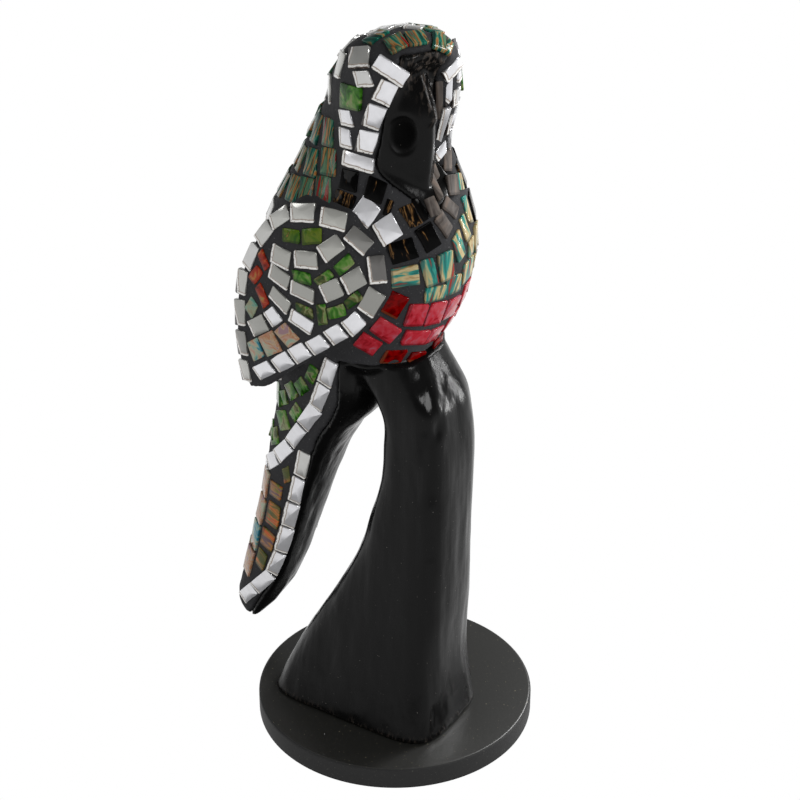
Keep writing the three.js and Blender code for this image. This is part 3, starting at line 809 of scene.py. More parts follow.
# %% Mirror glass
def mirror_glass():
    """Silver whose grey is the tile's tone, which is painted reflection: tiles that
    face the white floor are set light, those that face the grey room above darker,
    and the metal share adds real reflection. The sawn edge is a brown line, a white
    stripe and a second brown line side by side, all of them ragged."""
    material, tree, shader = new_material("mirror_glass")
    face, near, tone_and_reflection = tile_places(tree)
    # each mirror tile's grey, picked by its tone, is painted reflection of the room
    silver_and_painted_reflection = add(tree, "ValToRGB", {"stops": [
        (0.0, "3C3A38"), (0.15, "6E6C6A"), (0.3, "94948F"), (0.45, "B4B4AE"),
        (0.6, "C9C9C7"), (0.85, "E6E6EA"), (1.0, "F4F4F7")]}, i0=tone_and_reflection)
    cloud = add(tree, "MapRange", Value=marbling(tree, face, 2.5, 1.2, 4),
                From_Min=0.3, From_Max=0.7, To_Max=0.14)
    silver_and_painted_reflection = add(tree, "Mix", {"data_type": "RGBA", "out": 2}, i0=cloud, i6=silver_and_painted_reflection,
                 i7=linear("8C8A86"))
    wander = add(tree, "MapRange", Value=marbling(tree, face, 3, 3, 2),
                 From_Min=0.3, From_Max=0.7, To_Min=-0.16, To_Max=0.16)
    ragged = add(tree, "Math", {"operation": "ADD"}, i0=near, i1=wander)
    stripes = add(tree, "ValToRGB", {"stops": [
        (0.0, "2A2320"), (0.06, "5A4A3E"), (0.12, "F4F3F0"), (0.42, "EAE8E4"),
        (0.50, "7A6656"), (0.60, "A89A8E"), (0.72, "C9C7C2")]},
        i0=add(tree, "MapRange", Value=ragged, From_Max=2))
    chips = add(tree, "MapRange", Value=marbling(tree, face, 11, 11, 2),
                From_Min=0.60, From_Max=0.68)
    stripes = add(tree, "Mix", {"data_type": "RGBA", "out": 2}, i0=chips, i6=stripes,
                  i7=linear("5E4E44"))
    band = add(tree, "MapRange", Value=ragged, From_Min=1.15, From_Max=1.4, To_Min=1, To_Max=0)
    wire(tree, shader, Coat_Weight=0.3, Coat_Roughness=0.03,
         Base_Color=add(tree, "Mix", {"data_type": "RGBA", "out": 2}, i0=band, i6=silver_and_painted_reflection,
                        i7=stripes),
         Metallic=add(tree, "MapRange", Value=band, To_Min=0.45, To_Max=0.0),
         Roughness=add(tree, "MapRange", Value=band, To_Min=0.14, To_Max=0.3))
    return material


# %% Coloured glass
def coloured_glass(name, along, aside, twist, stops, sawn_colour, shift, roughness=0.12,
                   gloss=0.14):
    """A marbled or combed glass: stretched noise through a ramp of colours, moved
    a little lighter or darker for every tile. Clear gloss over a slight ripple."""
    material, tree, shader = new_material(name)
    face, near, tone_and_reflection = tile_places(tree)
    value = add(tree, "Math", {"operation": "ADD"}, i0=marbling(tree, face, along, aside, 4, twist),
                i1=add(tree, "MapRange", Value=tone_and_reflection, To_Min=-shift, To_Max=shift))
    colour = add(tree, "ValToRGB", {"stops": stops}, i0=value)
    band = add(tree, "MapRange", Value=near, From_Min=0.7, From_Max=1.1, To_Min=0.6, To_Max=0)
    wire(tree, shader, Roughness=roughness, Specular_IOR_Level=gloss,
         Base_Color=add(tree, "Mix", {"data_type": "RGBA", "out": 2}, i0=band, i6=colour,
                        i7=linear(sawn_colour)),
         Normal=add(tree, "Bump", Height=marbling(tree, face, 3, 3, 1),
                    Distance=0.25 * MM, Strength=0.5))
    return material


# %% The kinds of glass
GLASS = {
    # bright and cold; each tile mirrors another part of the room, and its grey is painted
    # reflection of it
    "mirror_glass": mirror_glass(),
    # leaf green with pale clouds
    "green_glass": coloured_glass("green_glass", 1.5, 1.3, 0.9, [
        (0.30, "123206"), (0.40, "1C4A0A"), (0.48, "38701A"), (0.54, "588036"),
        (0.60, "80865A"), (0.66, "52542A"), (0.74, "1E440E")], "1D3309", 0.14),
    # a yellower green, warm where it turns brown
    "olive_glass": coloured_glass("olive_glass", 1.5, 1.3, 0.9, [
        (0.32, "1E480A"), (0.42, "3A5A10"), (0.52, "4E6614"), (0.60, "5E6C20"),
        (0.68, "2E5410"), (0.76, "8A6230")], "1D2A09", 0.06),
    # milky grey green, the quietest tile
    "seafoam_glass": coloured_glass("seafoam_glass", 1.4, 1.2, 1.0, [
        (0.36, "5A8A7A"), (0.46, "7A9884"), (0.54, "8C947A"), (0.62, "8A8468")], "5A6A58", 0.08),
    # red so deep that only its colour shows, with hardly any shine
    "deep_red_glass": coloured_glass("deep_red_glass", 2.0, 1.8, 0.6, [
        (0.34, "3C0000"), (0.48, "600000"), (0.58, "7C0202"), (0.66, "540402")], "6A3A22",
        0.06, 0.06, 0.05),
    # raspberry with paler streaks
    "red_glass": coloured_glass("red_glass", 2.4, 1.8, 0.8, [
        (0.28, "6E0A10"), (0.38, "9A1C26"), (0.50, "AC2834"), (0.62, "B03844"),
        (0.74, "A25462")], "5A0A10", 0.12, 0.1),
    # rust that glows a little orange
    "orange_glass": coloured_glass("orange_glass", 2.2, 1.4, 0.8, [
        (0.32, "5E1408"), (0.46, "8E2410"), (0.58, "9E3416"), (0.66, "A86A34"),
        (0.72, "8A7A44")], "5A120A", 0.06),
    # combed bands of amber, olive and grey
    "amber_glass": coloured_glass("amber_glass", 0.5, 2.6, 0.7, [
        (0.30, "4A5028"), (0.40, "6E5E30"), (0.45, "BC7038"), (0.50, "B04A26"),
        (0.54, "5E6A32"), (0.60, "A07040"), (0.68, "604A50")], "3A2A18", 0.2),
    # milky blue, sand and rose run together
    "pastel_glass": coloured_glass("pastel_glass", 1.3, 1.1, 1.0, [
        (0.32, "2E7A8E"), (0.40, "7A9E94"), (0.46, "A6A68C"), (0.52, "B08C7C"),
        (0.57, "A87450"), (0.62, "B09A7E"), (0.70, "96787E")], "A09078", 0.12),
    # dark turquoise lines with rust between them
    "turquoise_glass": coloured_glass("turquoise_glass", 3.4, 0.4, 0.5, [
        (0.30, "0A2420"), (0.38, "0E4C40"), (0.44, "1C7260"), (0.48, "8E8256"),
        (0.515, "A0602C"), (0.55, "0C4438"), (0.61, "5E7A5A"), (0.66, "1A6252"),
        (0.72, "8A1A10")], "14332E", 0.14),
    # the same lines, lighter, with cream and red
    "breast_glass": coloured_glass("breast_glass", 2.0, 0.4, 0.5, [
        (0.32, "8A1E12"), (0.38, "14605A"), (0.45, "2E8A7E"), (0.50, "B09E6E"), (0.55, "BCAC84"),
        (0.61, "8A6A38"), (0.66, "2A766A"), (0.72, "8E2A1A")], "3A4A44", 0.12),
    # black that looks wet, with bronze veins
    "bronze_glass": coloured_glass("bronze_glass", 4.0, 0.8, 1.0, [
        (0.50, "030303"), (0.58, "070605"), (0.62, "2A1C10"), (0.66, "7A5A34"),
        (0.70, "3E2E20"), (0.76, "0C0A08")], "0A0908", 0.10, 0.1, 0.05),
    # warm grey that stays behind the others
    "smoke_glass": coloured_glass("smoke_glass", 3.0, 0.7, 0.6, [
        (0.32, "3A3431"), (0.46, "544E4A"), (0.56, "5E5752"),
        (0.66, "6E625A")], "2E2824", 0.08, 0.4, 0.06),
}
SLOT_OF = {name: name for name in GLASS}
SLOT_OF.update(orange_glass="amber_glass", breast_glass="turquoise_glass",
               smoke_glass="bronze_glass", olive_glass="green_glass",
               seafoam_glass="pastel_glass", deep_red_glass="red_glass")
print(len(GLASS), "kinds of glass")

# %% [markdown]
# ## The design
#
# The wings carry rings of mirror round green hearts, inside a border of mirror
# with a red row behind and pastel tiles at the tip. The tiler turned every tile
# to follow the rim, so a row of these tables is one tile: its place, its length
# and width in mm, its turn from level, its tone from dark to light and how far
# its sides lean. On mirror tiles the tone is painted reflection: light where the
# tile faces the white floor, grey where it faces the room above. A place on the
# wing is (distance back, level), and one on the trunk or tail is (angle, level).
# The left wing is the right one in a mirror.

# %% The same tiles on the left
def mirrored(rows, place=1):
    """The rows on the bird's left: turns and leans change sign, and so does the
    place where it is an angle (place = -1)."""
    return [(place * u, level, long, wide, -turn, tone_and_reflection, -sum(lean))
            for u, level, long, wide, turn, tone_and_reflection, *lean in rows]


# %% Tiles of the right wing
WING_PATCHES = [
    ("border", "mirror_glass", [
        (62.5, 182, 7.6, 12, 15, 0.5, 11), (62, 198.5, 8, 13.6, 13, 0.24, 16),
        (61, 215.5, 7.8, 14, 13, 0.34, 18), (58, 233, 6.4, 14, 0, 0.5, 10),
        (51.8, 248.5, 5.6, 14, -29, 0.6, -6), (44, 262, 6.4, 12, -41, 0.55, -7),
        (35.5, 272, 7, 12, -58, 0.5, -10), (23, 277.5, 12.6, 9, 12, 0.46, 6),
        (6.5, 278, 13, 9.2, -3, 0.44, 1), (-6.5, 270.5, 12, 8.4, -36, 0.2, -4),
        (-15, 258, 8, 13.6, 8, 0.1, 2), (-13.3, 241.8, 8.6, 13, -34, 0.27, -5),
        (-5.5, 230, 8.2, 10.4, -50, 0.88, -6), (3.5, 222.5, 8.2, 10.2, -50, 0.88, 2),
        (13.5, 214.6, 8, 12, -48, 0.86, 4), (24, 206.8, 8, 12, -48, 0.9, 2),
        (35.5, 197.8, 7.6, 14, -50, 0.86, 1), (48.6, 188.2, 7.2, 15, -48, 0.88, 5)]),
    ("upper_green", "olive_glass", [
        (28, 265.3, 9.4, 6.6, 8, 0.4), (16.5, 268.2, 11, 7.2, 18, 0.6, 10)]),
    ("upper_mirror", "mirror_glass", [
        (33, 254, 11.4, 9.2, -8, 0.36), (19, 256.5, 12.6, 8.6, 10, 0.38, 4),
        (6, 265.2, 8.2, 12.8, -49, 0.42, -3)]),
    ("middle_green", "green_glass", [
        (21, 247.8, 9.8, 5.2, 1, 0.3, -10), (9, 250.3, 4.2, 10.2, -42, 0.5, 7),
        (-0.7, 258.5, 5, 10.4, -49, 0.3, -6)]),
    ("middle_mirror", "mirror_glass", [
        (34, 244, 12.4, 8.4, -15, 0.32), (20.5, 240, 13, 8, -8, 0.34),
        (5, 245, 9, 10.8, -62, 0.34, -4), (-5.5, 252, 9, 11.2, -61, 0.32, -8)]),
    ("lower_green", "green_glass", [
        (19.5, 231, 9.6, 4.4, -7, 0.85, -10), (10, 231.8, 5.2, 10.4, 16, 0.9, 9),
        (2.5, 234.8, 9.2, 5.6, 25, 0.8, 10), (-5.3, 242, 4.2, 9.8, -53, 0.9, -8)]),
    ("lower_mirror", "mirror_glass", [
        (34, 232, 12.2, 8, -31, 0.36, -4), (22, 224.4, 13.2, 7.6, -18, 0.86, 2)]),
    ("tip_mirror", "mirror_glass", [
        (49, 213, 8.4, 12.6, -62, 0.34, -10), (39, 221.6, 8, 9, -48, 0.86, -2)]),
    ("rear_red", "orange_glass", [
        (43.5, 249, 8.8, 4.6, -57, 0.3, -15), (48.6, 240, 5.6, 9.6, -40, 0.4, -5),
        (45, 230.5, 10.6, 5.4, -61, 0.3, -17)]),
    ("tip_pastel", "pastel_glass", [
        (52.2, 198.6, 10, 9.6, -72, 0.1, -18), (42, 205.6, 10.6, 12, -62, 0.5, -9),
        (30.8, 214.3, 10.6, 9.6, -36, 0.8, 8)]),
    (None, "seafoam_glass", [(52.6, 221.6, 6, 9.6, -45, 0.5, -14)]),
]
print(sum(len(rows) for *_, rows in WING_PATCHES), "tiles on each wing")

# %% Lay both wings
INSIDE_WINGS = np.array([0.0, 20.0, BOARD_TOP + 235])
pieces = []
for side, name_of_side in ((-1, "right"), (1, "left")):
    for number, (name, glass, rows) in enumerate(WING_PATCHES):
        node = name_of_side + "_wing_" + name if name else None
        label = node or "%s_wing_extra_%d" % (name_of_side, number)
        obj = lay_patch(label, wing(side), INSIDE_WINGS, GLASS[glass],
                        rows if side < 0 else mirrored(rows), 100 + number)
        pieces.append((obj, node))
print(len(pieces), "wing pieces")

# %% [markdown]
# ## Rows over the back and on the tail
#
# What shows only from behind repeats the rows at the sides: one row runs over
# the back from side to side, so its places on the left are mirrored from those
# on the right. A row of these tables is a whole course of tiles: its name, its
# glass, its width, its places, how many tiles where the places are only points
# on the line, and the tiles' tones, which on mirror tiles are painted reflection.

# %% Courses of the tail
def over_back(path):
    """A path and its mirror image, joined over the back."""
    return path + [(-360 - u, level) for u, level in reversed(path)]


def to_left(path):
    """The same path on the bird's left."""
    return [(-u, level) for u, level in path]


LOWER_RIGHT = [(-86.5, 127), (-81.5, 110), (-78.5, 93), (-75.5, 76), (-78, 59), (-88, 44),
               (-112, 31)]
UPPER_RIGHT = [(-87, 191.5), (-93, 175.5), (-99, 158.5), (-102, 143), (-113, 129.5), (-131, 119.5),
               (-154, 114)]
REAR_RIGHT = [(-140, 105), (-139, 88), (-137, 70), (-135, 52)]
TAIL_COURSES = [
    ("tail_upper_mirror", "mirror_glass", 7.6, UPPER_RIGHT, None, [0.84] * 7),
    (None, "mirror_glass", 7.6, to_left(UPPER_RIGHT), None, [0.84] * 7),
    ("tail_right_mirror", "mirror_glass", 7.2, LOWER_RIGHT, None,
     [0.55, 0.84, 0.8, 0.84, 0.84, 0.84, 0.84]),
    ("tail_left_mirror", "mirror_glass", 7.2,
     [(angle + 9, level) for angle, level in to_left(LOWER_RIGHT)], None, [0.8] * 7),
    (None, "green_glass", 10, over_back([(-152, 136), (-168, 134)]), 4, None),
    (None, "green_glass", 12, over_back([(-152, 160), (-170, 158)]), 3, None),
    (None, "mirror_glass", 11, over_back([(-150, 207), (-170, 206)]), 5, [0.6] * 5),
    (None, "green_glass", 11, over_back([(-150, 191.5), (-170, 190)]), 4, None),
    (None, "mirror_glass", 10, over_back([(-151, 176), (-170, 175)]), 4, [0.6] * 4),
    ("tail_back_pastel", "pastel_glass", 9,
     [(180, 102), (180, 88), (180, 72), (180, 56)], None, None),
    (None, "pastel_glass", 8, REAR_RIGHT, None, None),
    (None, "pastel_glass", 8, to_left(REAR_RIGHT), None, None),
]

# %% Green and amber tiles of the tail
UPPER_GREEN = [(-99.5, 187.5, 11, 5.6, 64, 0.4), (-110.5, 177, 9.4, 7.6, 46, 0.1, 15),
               (-122, 170.5, 9.4, 8.6, 41, 0.4, 14), (-135, 161.5, 11, 7.4, 31, 0.6, 15)]
LOWER_GREEN = [(-113.5, 158, 11.6, 5.4, 52, 0.4, 12), (-126, 148.5, 10, 10, 29, 0.5, 10),
               (-136, 135.5, 9, 8.6, 32, 0.5, 15)]
AMBER = [(-99.5, 117.5, 5.4, 7.4, 38, 0.1, 30), (-110.5, 105, 8.6, 9, -7, 0.9),
         (-106, 89.5, 8.2, 15, -12, 0.4), (-104.5, 72.5, 8.8, 11.4, -20, 0.65, -4),
         (-106.5, 58.5, 6.6, 11.4, -30, 0.15, -14)]
TAIL_PATCHES = [
    ("tail_upper_green", "green_glass", UPPER_GREEN),
    (None, "green_glass", mirrored(UPPER_GREEN, -1)),
    ("tail_lower_green", "green_glass", LOWER_GREEN),
    (None, "green_glass", mirrored(LOWER_GREEN, -1)),
    ("tail_right_amber", "amber_glass", AMBER),
    ("tail_left_amber", "amber_glass", mirrored(AMBER, -1)),
]

# %% Courses of the head and the back
TRUNK_COURSES = [
    ("left_cheek_back", "mirror_glass", 9, [(72, 349.5), (84, 340), (95, 324)], 4, [0.7] * 4),
    ("left_jowl", "mirror_glass", 9, [(50, 318), (46, 306)], None, [0.75] * 2),
    ("left_eye", "green_glass", 11, [(60, 333), (82, 333)], 1, None),
    ("nape_upper", "mirror_glass", 11, [(-142, 349), (-236, 349)], 6, [0.6] * 6),
    ("nape_middle", "turquoise_glass", 11, [(-141, 335), (-242, 335)], 7, None),
    ("nape_lower", "mirror_glass", 11, [(-143, 321), (-242, 321)], 7, [0.6] * 7),
    ("neck_middle", "turquoise_glass", 12, over_back([(-137, 291), (-160, 290)]), 8, None),
    (None, "turquoise_glass", 12, over_back([(-145, 277), (-160, 276)]), 8, None),
    ("back_mirror", "mirror_glass", 11, over_back([(-150, 262), (-170, 262)]), 6, [0.6] * 6),
    ("back_green", "green_glass", 11, over_back([(-152, 249), (-170, 249)]), 6, None),
    ("rump_mirror", "mirror_glass", 11, over_back([(-152, 236), (-170, 236)]), 6, [0.6] * 6),
    (None, "green_glass", 11, over_back([(-155, 223), (-170, 223)]), 5, None),
]

# %% [markdown]
# ## Tiles set one by one
#
# Round the face, throat and breast there are no straight rows either: the tiles
# turn to follow the rim of the face and the shoulder. The rows read as those of
# the wing do. Places from -90 to 0 show in the usual view, and the others repeat
# them on the bird's left.

# %% Tiles of the head and neck
TRUNK_PATCHES = [
    ("right_cheek_rim", "mirror_glass", [
        (-39.5, 351.5, 16, 7.5, -34, 0.88, -4), (-41, 337.5, 8.5, 11.5, -24, 0.9),
        (-53.5, 325, 8.5, 12.5, -11, 0.9, 10), (-65.5, 312, 9.4, 11, 0, 0.92, 16),
        (-76.5, 302, 16.6, 6.8, -1, 0.88)]),
    ("right_cheek_back", "mirror_glass", [
        (-88, 356, 12.6, 10, 24, 0.5, -20), (-67, 342, 9.6, 7.5, 16, 0.6, -8),
        (-108, 342, 8.5, 13, 10, 0.5, 20), (-123, 325, 9, 14, 10, 0.5, 15)]),
    ("right_jowl", "mirror_glass", [
        (-91.5, 319, 10.6, 7.4, 12, 0.84, -8), (-91, 310, 8.8, 8.8, 10, 0.86, -6)]),
    ("right_eye", "green_glass", [(-82.5, 331, 15.6, 11.4, 10, 0.3, 15)]),
    ("left_cheek_rim", "mirror_glass", [
        (35.5, 342, 11, 6.2, 30, 0.82, -7), (28.5, 331.5, 5, 8, 48, 0.84, 46),
        (25.5, 314, 3.4, 22, 0, 0.8, 4), (20.5, 301, 7.6, 4.2, 32, 0.88, 40),
        (50.5, 338.5, 6, 8, -4, 0.8, 6), (37.5, 328, 4.6, 8.6, 9, 0.66, 14),
        (37, 314, 4.6, 11, 10, 0.84, 12)]),
    # painted reflection: a smoke tile where the carved facet by the left eye catches light
    (None, "smoke_glass", [(20.5, 328, 3.4, 19, 4, 0.9, 4)]),
    ("neck_upper", "turquoise_glass", [
        (-127.5, 305.5, 9, 13, 10, 0.2, -14), (-108, 308, 9, 12.6, 10, 0.75, -12),
        (-145, 305, 9, 14, 0, 0.4), (-162, 305, 9, 14, 0, 0.6), (-180, 305, 9.5, 14, 0, 0.3),
        (-198, 305, 9, 14, 0, 0.7), (-215, 305, 9, 14, 0, 0.2), (-232, 306.5, 8.6, 15, 0, 0.5),
        (-251.5, 307.5, 8.6, 14.5, 0, 0.75)]),
    (None, "turquoise_glass", [
        (-119.5, 293.5, 10, 12.8, 12, 0.3, -14), (-102, 297, 9.8, 12.6, 12, 0.5, -8),
        (-128.5, 280, 9.5, 12.6, 10, 0.3, -8), (-115, 282.4, 9.8, 12.4, 12, 0.6, -10),
        (-101.5, 285.5, 9, 12.4, 10, 0.9, -8)]),
    ("brow_band", "turquoise_glass", [
        (-61, 374.5, 9, 11.5, 62, 0.65, 10), (0.5, 379.5, 9.4, 11, -6, 0.4, 10),
        (39.5, 370.5, 6.6, 13.5, -67, 0.3), (41, 363, 3.6, 10, -88, 0.5, -12),
        (100, 372, 10, 9.5, 0, 0.5)]),
    ("crown_band", "turquoise_glass", [
        (-118.5, 371, 11, 8, 132, 0.15, 8), (-236, 369, 11, 9, 0, 0.3)]),
    (None, "mirror_glass", [
        (-152, 371.5, 11, 9, 0, 0.62), (-190, 371.5, 11, 9, 0, 0.6), (-224, 378, 8, 8, 0, 0.6)]),
    (None, "mirror_glass", [
        (-72.5, 281.5, 10, 11.5, -35, 0.86, -6), (-57.5, 275, 11, 10.8, -60, 0.86, -5),
        (72.5, 281.5, 10, 11.5, 35, 0.86, 6), (57.5, 275, 11, 10.8, 60, 0.86, 5)]),
]
print(sum(len(rows) for *_, rows in TRUNK_PATCHES), "tiles on head and neck")

# %% Tiles of the throat, breast and belly
TRUNK_PATCHES += [
    ("throat_black", "bronze_glass", [
        (-86, 293, 9.8, 9, 2, 0.1), (-88, 285, 10.8, 6.4, -6, 0.95),
        (-63, 291.5, 9, 10, -18, 0.1, -8), (-55, 284.5, 3.6, 7.5, -16, 0.3),
        (-39, 280.5, 6.8, 10.5, 19, 1.0, -8), (-29.5, 283, 3.2, 11, 19, 0.1, -4),
        (34, 287, 8.5, 13, 0, 0.3), (88, 287.5, 11, 13.5, 0, 0.5),
        (63, 290.5, 9.4, 11.5, 0, 0.3)]),
    ("bib_black", "bronze_glass", [
        (-48, 265.5, 11.8, 9.6, 16, 0.35, -3), (-28.5, 270, 8.4, 12, 21, 0.2),
        (30, 271, 10, 13, 0, 0.3), (47, 268, 11, 12, 0, 0.3)]),
    (None, "smoke_glass", [
        (-19, 283, 5.8, 9, 4, 0.1, -9), (2, 296, 4.6, 9.5, 20, 0.6, 24),
        (22.5, 296.5, 5, 9.6, -14, 0.7, 12), (8, 287.5, 8.4, 9.4, -20, 0.5, -6),
        (-7.5, 290, 4.2, 11.5, 20, 0.6, 22), (-3, 279.5, 11, 6, -51, 0.6, -4),
        (-14, 274, 11.6, 7, -63, 0.3, -12)]),
    ("breast_turquoise", "breast_glass", [
        (-45.5, 253.5, 9.6, 12.8, 95, 0.5), (-28.5, 254, 6.8, 14, 4, 0.05, -10),
        (-14.8, 254, 8.8, 14.6, 0, 0.62, -8), (-3, 261, 7, 13, 24, 0.4, 10),
        (4.5, 267, 4.6, 12.6, 14, 0.3), (10, 256, 6.4, 8.4, 10, 0.7, 14),
        (24, 257, 9, 13, 0, 0.6), (40, 255, 11, 12, 0, 0.2)]),
    (None, "breast_glass", [
        (-20.5, 241.5, 11.6, 8.2, -8, 0.2, -12), (-5.5, 242, 11, 10, -6, 0.3, -16),
        (8, 244.5, 9.6, 12, 10, 0.35), (12.8, 273.5, 5.2, 13, -13, 0.3, -18),
        (19.5, 286.5, 7, 8, -20, 0.35, -10), (23, 243, 9, 10, 0, 0.7), (40, 242, 11, 9, 0, 0.4)]),
    ("belly_red_upper", "red_glass", [
        (-33.5, 231.5, 10, 12.6, -14, 0.5, -5), (-16, 229, 10.8, 13.4, -14, 0.7, -8),
        (0.5, 226.5, 11, 12.6, -12, 0.95, -14), (18, 229, 10.4, 11.4, 0, 0.5),
        (35, 231, 10.4, 11, 0, 0.6)]),
    ("belly_red_middle", "red_glass", [
        (-55.5, 224.5, 13, 9.8, -44, 0.5, -12), (-28.5, 217, 15, 9.6, -20, 0.6, -12),
        (-5.5, 212.5, 11.6, 9.8, -14, 0.95, -12), (15, 214, 11.6, 9.6, 0, 0.5),
        (36, 217, 11.6, 9.6, 0, 0.6), (55.5, 224.5, 13, 9.8, 44, 0.5, 12)]),
    ("right_belly_red", "red_glass", [(-70, 215, 11.2, 11.6, -38, 0.5, -6)]),
    ("left_belly_red", "red_glass", [(70, 215, 11.2, 11.6, 38, 0.55, 6)]),
    (None, "deep_red_glass", [
        (-50, 239, 9, 12, -35, 0.5, -8), (-45.5, 206.5, 10.6, 9, -14, 0.4, 5),
        (-18.5, 202, 10.6, 5.4, -20, 0.4), (50, 239, 9, 12, 35, 0.5, 8),
        (45.5, 206.5, 10.6, 9, 14, 0.4, -5), (8, 202.5, 10, 6, 0, 0.4)]),
]
print(sum(len(rows) for *_, rows in TRUNK_PATCHES), "tiles with throat, breast and belly")

# %% Lay the courses and the single tiles
for form, inside_y, courses in ((tail, 60.0, TAIL_COURSES), (trunk, 8.0, TRUNK_COURSES)):
    for number, (name, glass, width, path, tiles, tones_and_reflections) in enumerate(courses):
        height = float(np.mean([level for _, level in path]))
        inside = np.array([0.0, inside_y, BOARD_TOP + min(height, 340)])
        label = name or "extra_course_%d_%d" % (inside_y, number)
        obj = lay_course(label, form, inside, GLASS[glass], width, path, tiles, tones_and_reflections, 200 + number)
        pieces.append((obj, name))
for form, inside_y, patches in ((tail, 60.0, TAIL_PATCHES), (trunk, 5.0, TRUNK_PATCHES)):
    for number, (name, glass, rows) in enumerate(patches):
        height = float(np.mean([row[1] for row in rows]))
        inside = np.array([0.0, inside_y, BOARD_TOP + min(height, 335)])
        label = name or "patch_%d_%d" % (inside_y, number)
        obj = lay_patch(label, form, inside, GLASS[glass], rows, 300 + number)
        pieces.append((obj, name))
for obj, node in pieces:
    if node:
        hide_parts(node)
print(len(pieces), "courses and patches laid")

# %% [markdown]
# ## Lacquer, grout and board
#
# The lacquer is glossy black over tool marks, with a few pale specks of dust;
# in the eye's hollow painted shade darkens it.
# Grout is matte charcoal with a fine grain. The board has two finishes: a satin
# top that mirrors the room softly, and a turned edge that stays dull and paler.

# %% Materials of lacquer, grout and board
def specks(tree, scale, detail=2.0, squash=(1, 1, 1)):
    """Noise in object coordinates; scale is in marks per metre."""
    place = add(tree, "TexCoord", {"out": "Object"})
    moved = add(tree, "Mapping", Vector=place, Scale=squash)
    return add(tree, "TexNoise", Vector=moved, Scale=scale, Detail=detail)


def lacquer():
    """Gloss black with long brush strokes. The vertex attribute raw is bare wood
    that shows through; the eye's hollow has a mask of painted shade, dark and dull."""
    material, tree, shader = new_material("black_lacquer")
    raw = add(tree, "Attribute", {"attribute_name": "raw", "out": "Fac"})
    painted_eye_shade = add(tree, "Attribute", {"attribute_name": "painted_eye_shade", "out": "Fac"})
    worn = add(tree, "MapRange", Value=specks(tree, 520, 3, (1, 1, 0.4)),
               From_Min=0.50, From_Max=0.66, To_Max=0.75)
    worn = add(tree, "Math", {"operation": "MULTIPLY"}, i0=raw, i1=worn)
    colour = linear("0A0A0A")
    dust = add(tree, "MapRange", Value=specks(tree, 850), From_Min=0.735, From_Max=0.80)
    # over the eye's hollow 010101 is painted shade; 4E4640 is bare wood and 77736E dust
    for share, over in ((worn, "4E4640"), (painted_eye_shade, "010101"), (dust, "77736E")):
        colour = add(tree, "Mix", {"data_type": "RGBA", "out": 2}, i0=share, i6=colour,
                     i7=linear(over))
    dull = add(tree, "MapRange", Value=specks(tree, 55, 3, (1, 1, 0.3)),
               From_Min=0.3, From_Max=0.7, To_Min=0.13, To_Max=0.34)
    dull = add(tree, "Math", {"operation": "MAXIMUM"}, i0=dull, i1=painted_eye_shade)
    brush = add(tree, "Bump", Height=specks(tree, 380, 3, (1, 1, 0.05)), Distance=0.16 * MM,
                Strength=0.9)
    lumps = add(tree, "Bump", Height=specks(tree, 130, 2), Distance=0.25 * MM, Strength=0.5,
                Normal=brush)
    wire(tree, shader, Base_Color=colour, Roughness=dull, Normal=lumps, Specular_IOR_Level=0.13)
    return material


def matte(name, colour, speck_colour, scale, rough, level, relief, rare=0.66):
    """A dull ground with specks, the fewer the higher rare is."""
    material, tree, shader = new_material(name)
    share = add(tree, "MapRange", Value=specks(tree, scale), From_Min=rare, From_Max=rare + 0.08)
    wire(tree, shader, Roughness=rough, Specular_IOR_Level=level,
         Base_Color=add(tree, "Mix", {"data_type": "RGBA", "out": 2}, i0=share, i6=linear(colour),
                        i7=linear(speck_colour)),
         Normal=add(tree, "Bump", Height=specks(tree, scale * 0.6), Distance=relief * MM,
                    Strength=0.7))
    return material


# deep black with long, broken highlights
wood.data.materials.append(lacquer())
# dry and dark, so the tiles stand out
grout.data.materials.append(matte("grout", "2B2B2D", "5A5A5A", 1100, 0.85, 0.3, 0.3))
# a soft sheen, with dust on it
satin = matte("satin_black", "1E1E1B", "9A937C", 900, 0.40, 1.0, 0.05, 0.70)
# flat dark grey with a fine grain
turned_edge = matte("turned_edge", "2A2A2A", "4A4A46", 1300, 0.6, 0.2, 0.12)
print("lacquer, grout and the board's two finishes")

# %% [markdown]
# ## The board
#
# A turned disc: one profile, with a soft round at both edges, is spun round the
# board's middle. Steep faces take the finish of the edge.

# %% Turn the board
BOARD_ROUND = 1.5               # radius of the round at both edges
EDGE_SLOPE = 0.8                # a face below this upward share belongs to the edge


def board_disc(radius, top):
    """Closed skin of a lathe profile: quarter circles round both edges."""
    turn = np.linspace(0, np.pi / 2, 7)
    across, rise = BOARD_ROUND * np.sin(turn), BOARD_ROUND * np.cos(turn)
    out = np.concatenate([radius - BOARD_ROUND + across, radius - BOARD_ROUND + rise])
    up = np.concatenate([BOARD_ROUND - rise, top - BOARD_ROUND + across])
    out = np.concatenate([[radius * 0.5], out, [radius * 0.5]])
    up = np.concatenate([[0], up, [top]])
    around = np.linspace(0, 2 * np.pi, 144, endpoint=False)
    rings = np.stack([out[:, None] * np.cos(around), out[:, None] * np.sin(around),
                      up[:, None] + 0 * around], -1)
    return outward(*ring_skin(rings))


disc = new_object("board", new_mesh("board", [board_disc(BOARD_RADIUS, BOARD_TOP - SEAT)]))
disc.data.materials.append(satin)
disc.data.materials.append(turned_edge)
slopes = np.empty(3 * len(disc.data.polygons), np.float32)
disc.data.polygons.foreach_get("normal", slopes)
on_edge = slopes.reshape(-1, 3)[:, 2] < EDGE_SLOPE
disc.data.polygons.foreach_set("material_index", on_edge.astype(np.int32))
disc.data.shade_smooth()
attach(disc, "root")
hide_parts("base_board")
print("board", len(disc.data.polygons), "faces,", int(on_edge.sum()), "of them on the edge")

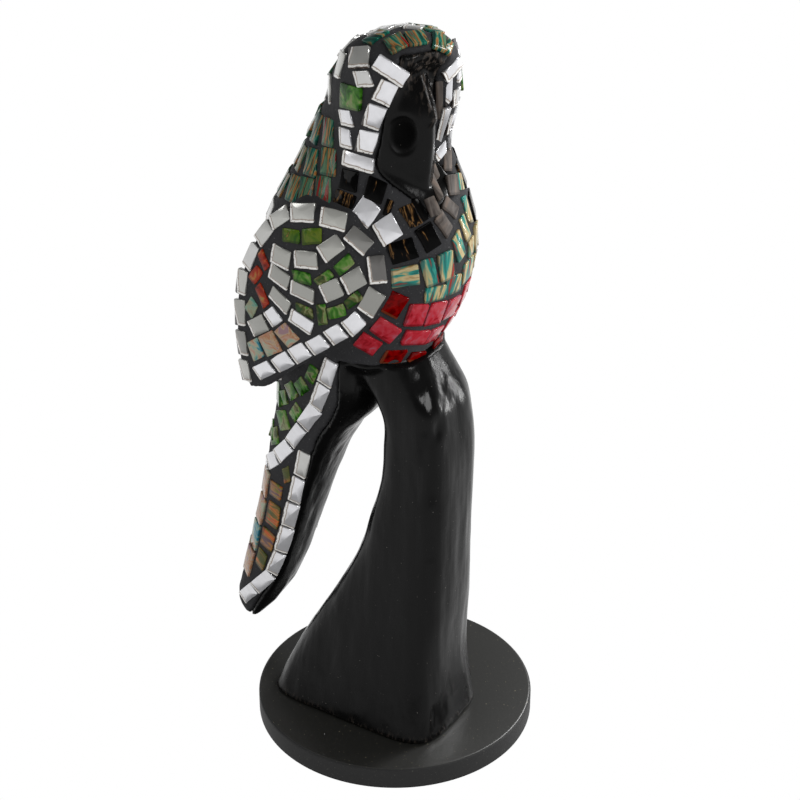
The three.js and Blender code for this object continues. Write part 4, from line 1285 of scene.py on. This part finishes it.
# %% [markdown]
# ## Light and camera
#
# A product table: white paper round about and up to the horizon, and a dim room
# above it. The object's own shade makes the paper right below it dark, so its
# undersides stay dark too. Soft boxes give the long highlights.

# %% The room: dark straight below, white round about, grey above
world = bpy.data.worlds.new("studio")
bpy.context.scene.world = world
world.use_nodes = True
tree = world.node_tree
direction = add(tree, "TexCoord", {"out": "Generated"})
up = add(tree, "SeparateXYZ", {"out": "Z"}, Vector=direction)
sky = add(tree, "ValToRGB", {"stops": [
    (0.0, "2A2A2A"), (0.12, "2A2A2A"), (0.165, "FFFFFF"), (0.425, "FFFFFF"),
    (0.55, "9A9A9A"), (0.675, "707070")]},
    i0=add(tree, "MapRange", Value=up, From_Min=-1, From_Max=1))
wire(tree, tree.nodes["Background"], Color=sky, Strength=1.0)
print("room made of", len(tree.nodes), "nodes")


# %% Soft boxes
def soft_box(name, place, target, size, power_watts):
    """A rectangular light in metres and watts at a place, turned to a target."""
    light = bpy.data.lights.new(name, "AREA")
    light.shape = "RECTANGLE"
    light.size, light.size_y = size
    light.energy = power_watts
    obj = new_object(name, light)
    obj.location = place
    aim = unit(np.array(place) - np.array(target))
    obj.rotation_euler = (np.arccos(aim[2]), 0, np.arctan2(aim[1], aim[0]) + np.pi / 2)
    return obj


for box in (
        ("key", (-0.3, -1.3, 1.1), (0, 0, 0.25), (0.5, 0.5), 11),       # before the breast
        ("side", (1.1, -0.3, 0.9), (0, 0, 0.2), (0.25, 0.9), 13),       # tall, on its left
        ("strip", (0.9, -0.85, 0.2), (0, 0, 0.2), (0.06, 0.5), 7),      # narrow and low
        ("rear", (-0.9, 1.0, 0.8), (0, 0, 0.2), (0.4, 0.8), 3.5)):      # behind its right
    print("soft box", soft_box(*box).name)

# %% Camera, as the photo was taken
CAMERA_PLACE = (-0.7925, -0.5147, 0.724)        # in metres
LOOKS_DOWN, LOOKS_ROUND = 29.9, -57             # degrees below level and round the upright
camera = bpy.data.cameras.new("camera")
camera.lens = 102.4                             # mm on a 36 mm sensor: a long lens
camera.sensor_width = 36
camera.shift_x = 0.00625                        # the object stands a little off the middle
camera.clip_start = 0.05
eye_point = new_object("camera", camera)
eye_point.location = CAMERA_PLACE
eye_point.rotation_euler = (np.radians(90 - LOOKS_DOWN), 0, np.radians(LOOKS_ROUND))
scene = bpy.context.scene
scene.camera = eye_point
scene.view_settings.view_transform = "Standard"
scene.view_settings.look = "None"
print("camera", eye_point.location[:], "lens", camera.lens, "mm")
